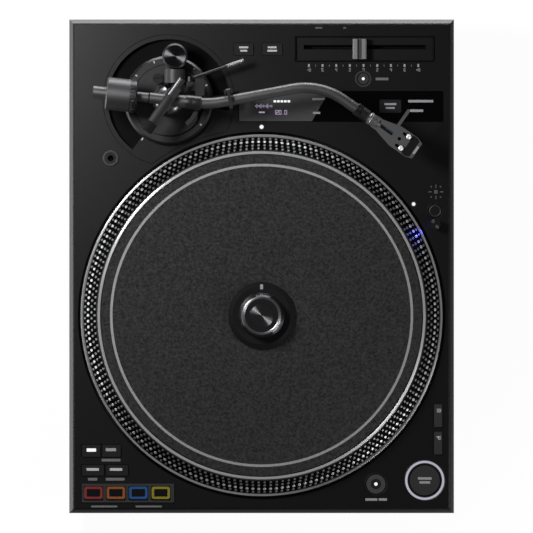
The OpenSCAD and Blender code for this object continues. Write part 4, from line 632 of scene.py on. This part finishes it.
# Trim and lamps of the round controls
places = {"reset": (93.3, 172.1), "motorOff": (104.9, -199.8), "start": (149.7, -196.4), "socket": (-138.6, 99.2),
          "lampButton": (159.12, 50.92), "markerBack": (0.0, 127.9), "markerRight": (139.5, 57.1)}
onDeck, onKey = deckTop - seatMm, keyTop - seatMm
collar("reset_collar", "chassis", buttonAbs, places["reset"], (5.75, 7.6), onDeck, deckTop + 0.45)
lens("reset_lamp", "reset_button", whiteLight, places["reset"], 1.35, keyTop)
lens("motor_off_dish", "motor_off_button", keyAbs, places["motorOff"], 4.8, keyTop, 0.12)
lens("motor_off_lamp", "motor_off_button", whiteLight, places["motorOff"], 1.75, keyTop)
lens("marker_lens_back", "chassis", whiteLight, places["markerBack"], 1.8, guideTop)
lens("marker_lens_right", "chassis", whiteLight, places["markerRight"], 1.6, guideTop)
collar("start_lit_ring", "chassis", startLight, places["start"], (15.95, 17.95), 100.4, 100.75)
collar("start_bezel", "chassis", buttonAbs, places["start"], (17.95, 18.85), 100.4, 100.85)
collar("socket_collar", "chassis", buttonAbs, places["socket"], (5.2, 7.3), deckTop + 0.7,
       deckTop + 1.2)
collar("motor_off_collar", "chassis", keyAbs, places["motorOff"], (9.45, 10.4), onDeck, deckTop + 0.3)
collar("lamp_button_rim", "lamp_button", buttonAbs, places["lampButton"], (4.4, 5.4), onKey,
       keyTop + 0.35)
collar("lamp_button_collar", "chassis", keyAbs, places["lampButton"], (6.75, 7.5), onDeck,
       deckTop + 0.3)

# Fader: a dead black strip round the sunken panel, painted shade of its edges, and a dark lip along the slot
faderSetup = {"centre": (94.7, 199.4), "panel": (127.6, 22.9), "level": 98.0, "shadeWidth": 0.95, "shadeTop": 99.5,
              "corner": 1.2, "insideCorner": 0.6, "ease": 0.2, "slotY": 201.1, "slot": (112.6, 2.4), "lip": 0.8}
panelWidth, panelDepth = faderSetup["panel"]
shadeInside = 2 * faderSetup["shadeWidth"]
flatPiece("fader_edge_shade", "chassis", shadeLining, "panel_plastic",
          roundRect(faderSetup["centre"], panelWidth, panelDepth, faderSetup["corner"]), faderSetup["level"] - seatMm,
          faderSetup["shadeTop"], faderSetup["ease"],
          roundRect(faderSetup["centre"], panelWidth - shadeInside, panelDepth - shadeInside, faderSetup["insideCorner"]))
slotLength, slotWidth = faderSetup["slot"]
lipOffset = (slotWidth + faderSetup["lip"]) / 2
printBars("fader_slot_lip", "chassis", blackBand, faderSetup["level"], [
    (faderSetup["centre"][0], faderSetup["slotY"] + side * lipOffset, slotLength, faderSetup["lip"])
    for side in (-1, 1)])

# Finger groove of the tempo knob, lined with a grey strip as painted shade of the groove's hollow
grooveSetup = {"centre": (89.9, 199.4), "size": (3.9, 18.1), "corner": 0.3, "low": 105.24, "high": 105.4, "ease": 0.04}
flatPiece("tempo_groove", "tempo_knob", paleAbs, "knob_metal",
          roundRect(grooveSetup["centre"], *grooveSetup["size"], grooveSetup["corner"], 3), grooveSetup["low"],
          grooveSetup["high"], grooveSetup["ease"])

# Plain bars on the keys
keyLabels = {
    "range_button": (brightInk, [(-16.4, 200.9, 8.6, 1.7), (-16.4, 197.8, 6.4, 1.7)]),
    "key_button": (brightInk, [(9.7, 200.9, 8.0, 1.7), (9.7, 197.8, 8.8, 1.7)]),
    "mode_button": (midInk, [(118.1, 148.8, 11.0, 1.8), (118.1, 145.3, 8.2, 1.8)]),
    "function_button_1": (whiteLight, [(-156.2, -168.6, 8.6, 3.0)]),
    "function_button_2": (midInk, [(-138.3, -168.3, 9.4, 2.8)]),
    "function_button_3": (brightInk, [(-155.0, -186.4, 11.4, 2.4)]),
    "function_button_4": (brightInk, [(-133.6, -186.4, 11.4, 2.4)]),
    "start_button": (startInk, [(149.7, -194.7, 12.6, 2.2), (149.7, -198.3, 9.7, 2.2)]),
    "speed_33_button": (brightInk, numberBars("33", (162.6, -132.4), 2.7, 0.6)),
    "speed_45_button": (brightInk, numberBars("45", (162.6, -157.4), 2.7, 0.6))}
for button, (ink, bars) in keyLabels.items():
    printBars(button + "_label", button, ink, keyTop, bars)

# Pads: a tinted frame moulded round a dark middle, in a raised panel made of bars so that each has its own opening
padSetup = {"x": (-154.3, -133.7, -113.1, -92.5), "y": -207.9, "size": (16.7, 11.3), "stroke": 2.2, "rise": 0.35,
            "corner": 1.9, "insideCorner": 0.8, "ease": 0.2,
            "slots": ("pad_red", "pad_orange", "pad_blue", "pad_yellow"),
            "panel": [(-122.6, -200.7, 84.6, 2.4), (-122.6, -215.6, 84.6, 2.2)] + [
                (x, -208.2, width, 12.8) for x, width in (
                    (-163.9, 2.0), (-144.0, 3.0), (-123.4, 3.0), (-102.8, 3.0), (-82.1, 3.6))]}
printBars("pad_panel", "chassis", buttonAbs, deckTop, padSetup["panel"])
for (pad, tinted), x, slotName in zip(padFrames.items(), padSetup["x"], padSetup["slots"]):
    centre, (width, depth), inside = (x, padSetup["y"]), padSetup["size"], 2 * padSetup["stroke"]
    outer = roundRect(centre, width, depth, padSetup["corner"])
    inner = roundRect(centre, width - inside, depth - inside, padSetup["insideCorner"])
    flatPiece(pad + "_frame", pad, tinted, slotName, outer, onKey, keyTop + padSetup["rise"], padSetup["ease"], inner)
print("keys labelled:", len(keyLabels), "and", len(padFrames), "pads framed")

# Display: a grey zone at the left of the window, partly the smoked display and partly a painted reflection on the
# glossy window up to its slanted edge, and lit generic figures
displaySetup = {"reflectionZone": ((-20.6, 133.1), (46.1, 133.1), (61.8, 160.3), (-20.6, 160.3)), "level": 100.05, "lit": 100.06,
                "figures": ("120.0", (17.0, 141.3), 3.6, 0.6), "dash": (0.2, 141.3, 5.4, 1.4),
                "wave": {"start": -5.6, "pitch": 1.25, "bars": 13, "y": 147.0, "width": 0.6, "least": 1.2,
                         "swing": 3.4},
                "meter": {"start": 12.2, "pitch": 3.2, "bars": 5, "y": 151.4, "size": (2.4, 2.0)},
                "legends": ((52.2, 153.4, 11.4, 1.9), (50.4, 140.8, 6.8, 1.9), (146.0, 151.5, 23.0, 2.3),
                            (141.3, 142.8, 14.0, 2.3))}
wave, meter = displaySetup["wave"], displaySetup["meter"]
waveBars = [(wave["start"] + wave["pitch"] * k, wave["y"], wave["width"],
             wave["least"] + wave["swing"] * abs(math.sin(1.9 * k) * math.cos(0.7 * k))) for k in range(wave["bars"])]
meterBars = [(meter["start"] + meter["pitch"] * k, meter["y"], *meter["size"]) for k in range(meter["bars"])]
litBars = waveBars + numberBars(*displaySetup["figures"]) + [displaySetup["dash"]]
flatPiece("display_reflection_zone", "chassis", smokedAcrylic, "gloss_black", displaySetup["reflectionZone"], displaySetup["level"] - 0.1,
          displaySetup["level"], 0.02)
printBars("display_figures", "chassis", displayLight, displaySetup["lit"], litBars, 0.2)
printBars("display_level", "chassis", whiteLight, displaySetup["lit"], meterBars, 0.3)
printBars("display_legends", "chassis", midInk, displaySetup["level"], displaySetup["legends"])
print("display lit")

# Arm: collar sleeve, and a black band at the hub as painted shade of the gap there, turned round the arm's axis in
# (radius, distance)
armSetup = {"axis": 144.0, "heading": -6.0, "groove": ((4.6, -18.5), (5.14, -18.5), (5.14, -17.3), (4.6, -17.3)),
            "collar": ((6.46, 16.0), (6.56, 16.3), (6.56, 21.6), (6.52, 21.8), (6.52, 22.4), (6.56, 22.6), (6.56, 29.6),
                       (6.41, 30.0), (5.86, 30.0), (5.86, 16.0))}
armAxis = (*pivot, armSetup["axis"]), armSetup["heading"]
# Headshell: knurled lock nut, bright neck ring, rounded neck, a dark plate on the nose as painted shade where the shell
# bends away, domed screw heads and sight bar; the skins are (thickness, ease)
shellSetup = {"start": (86.43, 144.44, 144.0), "heading": -34.9, "knurl": 0.28,
              "nut": ((4.98, 0.0), (5.35, 0.0), (5.85, 0.5), (5.85, 5.2), (5.3, 5.6), (5.3, 6.4), (5.85, 6.8),
                      (5.85, 12.5), (5.35, 13.0), (4.98, 13.0)),
              "ring": ((4.2, 14.65), (5.7, 14.65), (5.95, 14.95), (5.95, 16.9), (5.7, 17.2), (4.2, 17.2)),
              "neck": ((4.4, 17.2), (5.6, 17.2), (5.6, 18.4), (5.2, 20.6), (4.3, 23.0), (3.1, 25.4), (1.9, 27.2),
                       (1.9, 17.2)),
              "nose": ((57.5, -9.9), (61.9, -9.9), (65.2, -8.3), (65.2, 8.3), (61.9, 9.9), (57.5, 9.9)), "top": 145.6,
              "noseSkin": (0.17, 0.05), "sightSkin": (0.15, 0.03),
              "sight": ((65.7, -4.0), (67.9, -4.0), (67.9, 4.0), (65.7, 4.0)), "screw": (54.4, 6.35), "head": 147.3,
              "headRound": ((0, -0.1), (2.25, -0.1), (2.25, 0.05), (2.0, 0.4), (1.45, 0.66), (0.8, 0.74), (0.7, 0.35),
                            (0, 0.35))}
shellAxis = shellSetup["start"], shellSetup["heading"]
# Leads under the shell: four bowed wires, each with a gold tag at both ends
leadSetup = {"colours": ("white", "red", "blue", "green"), "start": 24.2, "length": 22.6, "pitch": 1.8, "radius": 0.6,
             "height": -2.9, "sag": 1.7, "bow": 0.25, "steps": 14, "tag": 2.6, "tagRadii": (0.72, 0.86, 0.86, 0.72),
             "tagSpread": 1.06, "tagHeight": -3.25}


def onShell(outline):
    return [setOut(*shellAxis, u, v, 0.0)[:2] for u, v in outline]


def buildScrewHeads(shape):
    u, v = shellSetup["screw"]
    for centre in onShell(((u, -v), (u, v))):
        lathe(shape, [(r, shellSetup["head"] + z) for r, z in shellSetup["headRound"]], centre, 40)


def buildLeads(shape):
    start, length, steps, tag = (leadSetup[k] for k in ("start", "length", "steps", "tag"))
    for k in range(len(leadSetup["colours"])):
        across = (k - 1.5) * leadSetup["pitch"]
        swell = [math.sin(math.pi * i / steps) for i in range(steps + 1)]
        bar(shape, [setOut(*shellAxis, start + length * i / steps, across * (1 + leadSetup["bow"] * s),
                           leadSetup["height"] - leadSetup["sag"] * s) for i, s in enumerate(swell)],
            [leadSetup["radius"]] * len(swell), 10, k)
        for end in (start, start + length - tag):
            bar(shape, [setOut(*shellAxis, end + tag * i / 3, across * leadSetup["tagSpread"], leadSetup["tagHeight"])
                        for i in range(4)], leadSetup["tagRadii"], 12, len(leadSetup["colours"]))


sleeve("shell_neck", "arm", shellAnodised, "arm_black", shellSetup["neck"], *shellAxis, 56)
onTop = shellSetup["top"] - seatMm
(noseSkin, noseEase), (sightSkin, sightEase) = shellSetup["noseSkin"], shellSetup["sightSkin"]
# The dark plate on the nose is painted shade
flatPiece("shell_nose", "arm", grainedAbs, "arm_black", onShell(shellSetup["nose"]), onTop, onTop + noseSkin,
          noseEase)
# The screw heads' pale colour is partly a painted highlight
makePiece("screw_heads", "arm", zincScrewAndGlint, buildScrewHeads)
sleeve("rear_groove", "arm", footRubber, "arm_black", armSetup["groove"], *armAxis, 48)
sleeve("arm_collar_sleeve", "arm", armLacquer, "arm_black", armSetup["collar"], *armAxis, 64)
lockNut = sleeve("lock_nut_knurled", "headshell_nut", blackAnodised, "arm_black", shellSetup["nut"], *shellAxis, 72,
                 shellSetup["knurl"])
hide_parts("headshell_nut")
sleeve("neck_ring", "arm", satinSilver, "arm_metal", shellSetup["ring"], *shellAxis, 64)
flatPiece("sight_bar", "arm", midInk, "arm_black", onShell(shellSetup["sight"]), onTop, onTop + sightSkin,
          sightEase)
leadFinishes = [leadSheath[colour] for colour in leadSetup["colours"]] + [goldPlate]
leads = makePiece("cartridge_leads", "arm", leadFinishes, buildLeads)
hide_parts("headshell_leads")

# Cue lever: a ribbed grip
cueSetup = {"root": (-65.7, 171.65, 119.0), "heading": 18.9, "grip": (35.4, 52.35), "radius": 2.02, "end": 1.5,
            "rootEase": 0.4, "endEase": 0.6, "bore": 0.5, "ribs": 7, "ribPitch": 2.0, "ribHalf": 0.35, "ribDepth": 0.12}
gripStart, gripEnd = cueSetup["grip"]
gripProfile = [(cueSetup["end"], gripStart), (cueSetup["radius"], gripStart + cueSetup["rootEase"])]
for k in range(1, cueSetup["ribs"] + 1):
    rib = gripStart + cueSetup["ribPitch"] * k
    gripProfile += [(cueSetup["radius"], rib - cueSetup["ribHalf"]), (cueSetup["radius"] - cueSetup["ribDepth"], rib),
                    (cueSetup["radius"], rib + cueSetup["ribHalf"])]
gripProfile += [(cueSetup["radius"], gripEnd - cueSetup["endEase"]), (cueSetup["end"], gripEnd),
                (cueSetup["bore"], gripEnd), (cueSetup["bore"], gripStart)]
sleeve("cue_grip", "cue_lever", cueSilver, "knob_metal", gripProfile, cueSetup["root"], cueSetup["heading"], 32)

# Force ring: a scale of thin lines along the rim, every third one longer and wider
forceSetup = {"lines": 30, "longEvery": 3, "start": -34.7, "short": -33.0, "long": -31.4, "low": 14.96, "high": 15.05,
              "halfTurn": 0.011, "longWidth": 1.6}


def buildForceScale(shape):
    low, high = forceSetup["low"], forceSetup["high"]
    for k, middle in enumerate(fullTurn(forceSetup["lines"])):
        long = k % forceSetup["longEvery"] == 0
        half = forceSetup["halfTurn"] * (forceSetup["longWidth"] if long else 1.0)
        corners = [(r * math.cos(middle + step), r * math.sin(middle + step))
                   for step, r in ((-half, low), (-half, high), (half, high), (half, low))]
        joinRings(shape, [[shape.verts.new(setOut(*armAxis, along, *corner)) for corner in corners]
                          for along in (forceSetup["start"], forceSetup["long" if long else "short"])], capped=True)


makePiece("force_scale", "force_ring", dimInk, buildForceScale)


# Short bars set round the pivot: (radius, angle, radial length, width)
def spokes(name, body, material, level, marks):
    def build(shape):
        for radius, angleDeg, length, width in marks:
            corners = [setOut((*pivot, 0.0), angleDeg, radius + a * length / 2, b * width / 2, 0.0)[:2]
                       for a, b in ((-1, -1), (1, -1), (1, 1), (-1, 1))]
            plate(shape, corners, level - seatMm, level + inkSetup["rise"], inkSetup["ease"])
    return makePiece(name, body, material, build)


heightMarks = {"radius": 37.2, "size": (2.0, 1.1), "angles": (111.0, 51.0, 21.5, 142.7, -37.4), "level": 107.3,
               "index": (43.1, -124.3, 2.4, 1.2)}
spokes("height_marks", "height_ring", brightInk, heightMarks["level"],
       [(heightMarks["radius"], angle, *heightMarks["size"]) for angle in heightMarks["angles"]])
spokes("height_index", "chassis", brightInk, deckTop, [heightMarks["index"]])

# Dead black sheet on the floor and the wall of the recess: painted shade of the recess
recessSetup = {"inner": 41.15, "outer": 55.95, "floor": 93.0, "top": 99.75, "from": -9.8, "to": 233.8, "sheetThick": 0.12,
               "sink": 0.02, "steps": 96}


def buildRecessShade(shape):
    inner, outer, low, top, sheetThick = (recessSetup[k] for k in ("inner", "outer", "floor", "top", "sheetThick"))
    under = low + recessSetup["sink"]
    profile = [(inner, under), (outer, under), (outer, top), (outer - sheetThick, top), (outer - sheetThick, low + sheetThick),
               (inner, low + sheetThick)]
    sweep, steps = recessSetup["to"] - recessSetup["from"], recessSetup["steps"]
    joinRings(shape, [[shape.verts.new(setOut((*pivot, z), recessSetup["from"] + sweep * i / steps, r, 0.0, 0.0))
                       for r, z in profile] for i in range(steps + 1)], capped=True)


makePiece("recess_shade_lining", "chassis", shadeLining, buildRecessShade)

# Anti-skate knob: a bevel and a finely knurled side, both in (radius, height); raised rows carry the ridges
skateSetup = {"top": 131.0, "rim": ((9.85, -0.05), (9.9, 0.08), (10.2, 0.08), (11.66, -1.38), (11.6, -1.5)),
              "ridges": 64, "ridge": 0.16, "grip": (
                  (11.3, 118.2, 0), (11.6, 118.2, 0), (11.62, 118.5, 1), (11.62, 128.9, 1), (11.6, 129.2, 0),
                  (11.3, 129.2, 0))}


def buildSkateGrip(shape):
    rings = []
    for base, z, raised in skateSetup["grip"]:
        sizes = [base + skateSetup["ridge"] * raised * (i % 2) for i in range(2 * skateSetup["ridges"])]
        rings.append([shape.verts.new((skateKnob[0] + r * math.cos(turn), skateKnob[1] + r * math.sin(turn), z))
                      for r, turn in zip(sizes, fullTurn(len(sizes)))])
    joinRings(shape, rings, True)


turnedRing("skate_rim", "anti_skate_knob", blackAnodised, skateSetup["rim"], skateKnob,
           skateSetup["top"], 96)
makePiece("skate_grip", "anti_skate_knob", blackAnodised, buildSkateGrip)

# Yoke: polished dome under the arm, a crowned cover on the bridge, a pale rail that is partly a painted highlight of
# the bridge rod, and a soft end cap
yokeSetup = {"heading": 54.5, "dome": {"outer": 14.56, "inner": 14.3, "centre": 116.3, "lastDeg": 108.0, "steps": 28},
             "cover": {"from": -25.4, "to": 3.4, "half": 4.86, "side": 156.6, "deep": 0.6, "crown": 2.5, "ease": 0.7,
                       "endShare": 0.94, "steps": 16},
             "highlightRail": {"off": 2.4, "level": 157.7, "steps": 24,
                      "stations": ((3.6, 0.875), (4.0, 1.25), (22.2, 1.25), (22.6, 0.875))},
             "cap": {"off": 0.0, "level": 154.0, "steps": 40, "stations": (
                 (-35.4, 3.96), (-34.9, 5.06), (-34.1, 5.5), (-25.9, 5.5), (-25.2, 5.115), (-24.9, 4.4))}}
yokeAxis = (*pivot, 0.0), yokeSetup["heading"]


def buildDome(shape):
    dome = yokeSetup["dome"]
    turns = [math.radians(dome["lastDeg"] * i / dome["steps"]) for i in range(dome["steps"] + 1)]
    lathe(shape, [(radius * math.sin(turn), dome["centre"] + radius * math.cos(turn)) for radius, row in (
        (dome["outer"], turns), (dome["inner"], turns[::-1])) for turn in row], pivot, 96)


def buildCover(shape):
    cover = yokeSetup["cover"]
    near, far, half, side, ease = (cover[k] for k in ("from", "to", "half", "side", "ease"))
    turns = [math.pi * i / cover["steps"] for i in range(cover["steps"] + 1)]
    rings = []
    for along, share in ((near, cover["endShare"]), (near + ease, 1.0), (far - ease, 1.0), (far, cover["endShare"])):
        arch = [(half * math.cos(turn), side + cover["crown"] * share * math.sin(turn) ** 0.8) for turn in turns]
        arch += [(-half, side - cover["deep"]), (half, side - cover["deep"])]
        rings.append([shape.verts.new(setOut(*yokeAxis, along, v, z)) for v, z in arch])
    joinRings(shape, rings, capped=True)


# A round piece along the bridge, through stations of (distance, radius)
def yokeBar(name, material, setup):
    points = [setOut(*yokeAxis, along, setup["off"], setup["level"]) for along, _ in setup["stations"]]
    radii = [radius for _, radius in setup["stations"]]
    makePiece(name, "yoke", material, lambda shape: bar(shape, points, radii, setup["steps"]))


makePiece("pivot_dome", "yoke", polishedNickel, buildDome)
makePiece("yoke_cover", "yoke", yokeLacquer, buildCover)
yokeBar("yoke_highlight_rail", cueSilver, yokeSetup["highlightRail"])
yokeBar("yoke_end_cap", footRubber, yokeSetup["cap"])
print("arm dressed")

# Strobe tower: its lamp lens, and two paler domes on top, painted highlights of the tower's top
strobeSetup = {"lens": ((155.02, 36.72), (157.92, 36.72), (157.92, 40.72), (155.02, 40.72)), "height": (101.0, 105.4),
               "ease": 0.3, "glints": ((157.4, 41.2), (160.9, 36.2)), "glintRadius": 1.7, "glintDome": 0.7}
towerTop = 1000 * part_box("strobe_lamp")[1][2]
for k, at in enumerate(strobeSetup["glints"]):
    lens(f"tower_glint_{k + 1}", "chassis", smokedAcrylic, at, strobeSetup["glintRadius"], towerTop,
         strobeSetup["glintDome"])
flatPiece("strobe_lens", "chassis", strobeLight, "light_guide", strobeSetup["lens"], *strobeSetup["height"],
          strobeSetup["ease"])

# Lamp icon beside its button: a disc with rays and sparks round it
iconSetup = {"centre": (159.9, 68.3), "disc": 3.4, "ray": (3.2, 1.0), "rayOut": (5.3, 5.1), "spark": 1.4,
             "sparkOut": (4.3, 4.7)}
iconX, iconY = iconSetup["centre"]
rayLength, rayWidth = iconSetup["ray"]
iconBars = [(iconX, iconY, iconSetup["disc"], iconSetup["disc"])]
for side in (1, -1):
    iconBars.append((iconX, iconY + side * iconSetup["rayOut"][1], rayWidth, rayLength))
    iconBars.append((iconX + side * iconSetup["rayOut"][0], iconY, rayLength, rayWidth))
iconBars += [(iconX + sx * iconSetup["sparkOut"][0], iconY + sy * iconSetup["sparkOut"][1], iconSetup["spark"],
              iconSetup["spark"]) for sx, sy in fourCorners]
printBars("lamp_mark", "chassis", faintInk, deckTop, iconBars)

# Back: coloured rings and gold barrels on the jacks, and the pins of the mains inlet
backSetup = {"panel": 212.5, "height": 38.5, "jacks": ((-46.0, "white"), (-30.0, "red"), (-8.0, "white"), (8.0, "red")),
             "ring": ((4.3, 1.9), (5.9, 1.9), (5.9, 2.5), (5.5, 2.9), (4.3, 2.9)),
             "barrel": ((1.75, 3.0), (4.28, 3.0), (4.28, 8.8), (4.0, 9.1), (1.75, 9.1)), "outward": 90.0,
             "inlet": -76.0, "pins": ((-5.0, -1.6), (5.0, -1.6), (0.0, 2.2)), "pinSize": (1.6, 5.0), "pinHalf": 2.0,
             "pinEase": 0.3, "bladeY": 209.3, "bladeCorner": 0.4}
for k, (x, colour) in enumerate(backSetup["jacks"]):
    seat = (x, backSetup["panel"], backSetup["height"])

    def buildJack(shape):
        axle(shape, backSetup["ring"], seat, backSetup["outward"], 40)
        axle(shape, backSetup["barrel"], seat, backSetup["outward"], 40, index=1)

    makePiece(f"jack_trim_{k + 1}", "chassis", [leadSheath[colour], goldPlate], buildJack)


# A flat blade that points out of the back
def blade(shape, x, z, width, length, half, ease):
    plate(shape, roundRect((x, backSetup["bladeY"]), width, length, backSetup["bladeCorner"], 3), z - half,
          z + half, ease)


def buildPins(shape):
    for dx, dz in backSetup["pins"]:
        blade(shape, backSetup["inlet"] + dx, backSetup["height"] + dz, *backSetup["pinSize"], backSetup["pinHalf"],
              backSetup["pinEase"])


makePiece("inlet_pins", "chassis", screwSteel, buildPins)

# Black mouths of the ports with a tongue in each data port, and the moulded frame of the inlet
portSetup = {"mouths": ((backSetup["inlet"], 21.6, 10.6), (52.4, 10.0, 8.8), (76.3, 11.0, 4.6)), "deep": 6.0,
             "lip": 1.15, "skin": 0.14, "gap": 0.02, "clear": 0.03, "tongues": ((52.4, 5.4, 1.5), (76.3, 8.2, 0.8)),
             "tongueLength": 5.0, "tongueEase": 0.2,
             "frame": ((27.5, 16.5, 0.02), (27.1, 16.1, 1.45), (21.4, 10.4, 1.45), (21.4, 10.4, 0.4))}


def portRing(shape, x, width, height, out):
    return [shape.verts.new((x + sx * width / 2, backSetup["panel"] + out, backSetup["height"] + sz * height / 2))
            for sx, sz in fourCorners]


def buildMouths(shape):
    deep, lip, skin, gap, clear = (portSetup[k] for k in ("deep", "lip", "skin", "gap", "clear"))
    for x, width, height in portSetup["mouths"]:
        joinRings(shape, [portRing(shape, x, width - 2 * inset, height - 2 * inset, out) for inset, out in (
            (gap, clear - deep), (gap, lip), (skin, lip), (skin, skin - deep))], capped=True)
    for x, width, half in portSetup["tongues"]:
        blade(shape, x, backSetup["height"], width, portSetup["tongueLength"], half, portSetup["tongueEase"])


makePiece("port_mouths", "chassis", siliconeRubber, buildMouths)
makePiece("inlet_frame", "chassis", grainedAbs, lambda shape: joinRings(
    shape, [portRing(shape, backSetup["inlet"], *step) for step in portSetup["frame"]], True))
print("back dressed")

# Floor: pale, bright to the camera and to mirrors, with the shadow kept faintly
floorSetup = {"half": 3.0, "cells": 24, "colour": "#f6f6f6", "shade": "#fbfbfb", "toothMm": 2.5, "mirrored": 0.3,
              "white": 0.95}


def floorMaterial(look):
    material, tree, where = newMaterial("matt white studio paper")  # seamless paper: even, with a trace of tooth
    tooth = addNode(tree, "ShaderNodeTexNoise", {"Scale": 1000 / look["toothMm"], "Detail": 2.0}, {"Vector": where})
    tint = addNode(tree, "ShaderNodeMix", {"data_type": "RGBA", 6: linear(look["colour"]), 7: linear(look["shade"])},
                   {0: tooth.outputs["Fac"]})
    paper = addNode(tree, "ShaderNodeBsdfDiffuse", {"Roughness": 0.0}, {"Color": tint.outputs[2]})
    white = addNode(tree, "ShaderNodeEmission", {"Color": (1.0, 1.0, 1.0, 1.0), "Strength": 1.0})
    path = addNode(tree, "ShaderNodeLightPath").outputs
    mirrored = addNode(tree, "ShaderNodeMath", {"operation": "MULTIPLY", 1: look["mirrored"]},
                       {0: path["Is Glossy Ray"]})
    seen = addNode(tree, "ShaderNodeMath", {"operation": "MAXIMUM"},
                   {0: path["Is Camera Ray"], 1: mirrored.outputs[0]})
    also = addNode(tree, "ShaderNodeMath", {"operation": "MAXIMUM"},
                   {0: seen.outputs[0], 1: path["Is Transmission Ray"]})
    share = addNode(tree, "ShaderNodeMath", {"operation": "MULTIPLY", 1: look["white"]}, {0: also.outputs[0]})
    mix = addNode(tree, "ShaderNodeMixShader", None, {0: share.outputs[0], 1: paper.outputs[0], 2: white.outputs[0]})
    addNode(tree, "ShaderNodeOutputMaterial", None, {"Surface": mix.outputs[0]})
    return material


floorMesh = bpy.data.meshes.new("studio_floor")
floorShape = bmesh.new()
bmesh.ops.create_grid(floorShape, x_segments=floorSetup["cells"], y_segments=floorSetup["cells"],
                      size=floorSetup["half"])
floorShape.to_mesh(floorMesh)
floorShape.free()
floorMesh.materials.append(floorMaterial(floorSetup))
floor = bpy.data.objects.new("studio_floor", floorMesh)
scene.collection.objects.link(floor)


# One lamp, turned to its target or else to the middle of the deck
def addLamp(name, kind, setup):
    lamp = bpy.data.lights.new(name, kind)
    lamp.energy = setup["power"]
    lampObject = bpy.data.objects.new(name, lamp)
    lampObject.location = setup["at"]
    aim = Vector(setup.get("to", (0.0, 0.0, 0.1))) - Vector(setup["at"])
    lampObject.rotation_euler = aim.to_track_quat("-Z", "Y").to_euler()
    scene.collection.objects.link(lampObject)
    return lamp


# Lights: a key softbox behind the left corner, a strip at the right, and low panels that catch the deck's edges
lightSetup = {
    "key_softbox": {"at": (-0.42, 0.31, 0.76), "size": (0.2, 0.2), "power": 7.3},
    "left_panel": {"at": (-0.55, 0.0, 0.07), "size": (0.7, 0.13), "power": 1.9},
    "right_strip": {"at": (1.25, -0.55, 0.95), "size": (0.3, 1.1), "power": 9.5},
    "back_panel": {"at": (0.0, 0.62, 0.07), "size": (0.6, 0.13), "power": 3.7},
    "corner_panel": {"at": (0.42, -0.45, 0.11), "size": (0.24, 0.16), "power": 1.6}}
for name, setup in lightSetup.items():
    lamp = addLamp(name, "AREA", setup)
    lamp.shape = "RECTANGLE"
    lamp.size, lamp.size_y = setup["size"]
# The strobe's own beam: a wide, soft blue spot from the tower's mouth across the band
beamSetup = {"at": (0.1545, 0.0363, 0.1062), "to": (0.1390, 0.0262, 0.1112), "power": 0.035, "spreadDeg": 84.0,
             "blend": 0.8, "radius": 0.0015, "colour": "#4649ff"}
beam = addLamp("strobe_beam", "SPOT", beamSetup)
beam.color = linear(beamSetup["colour"])[:3]
beam.spot_size = math.radians(beamSetup["spreadDeg"])
beam.spot_blend = beamSetup["blend"]
beam.shadow_soft_size = beamSetup["radius"]
world = bpy.data.worlds.new("studio_air")
world.use_nodes = True
world.node_tree.nodes.clear()
air = addNode(world.node_tree, "ShaderNodeBackground", {"Color": (1.0, 1.0, 1.0, 1.0), "Strength": 0.1})
addNode(world.node_tree, "ShaderNodeOutputWorld", None, {"Surface": air.outputs[0]})
scene.world = world
print("floor, lights and air set")
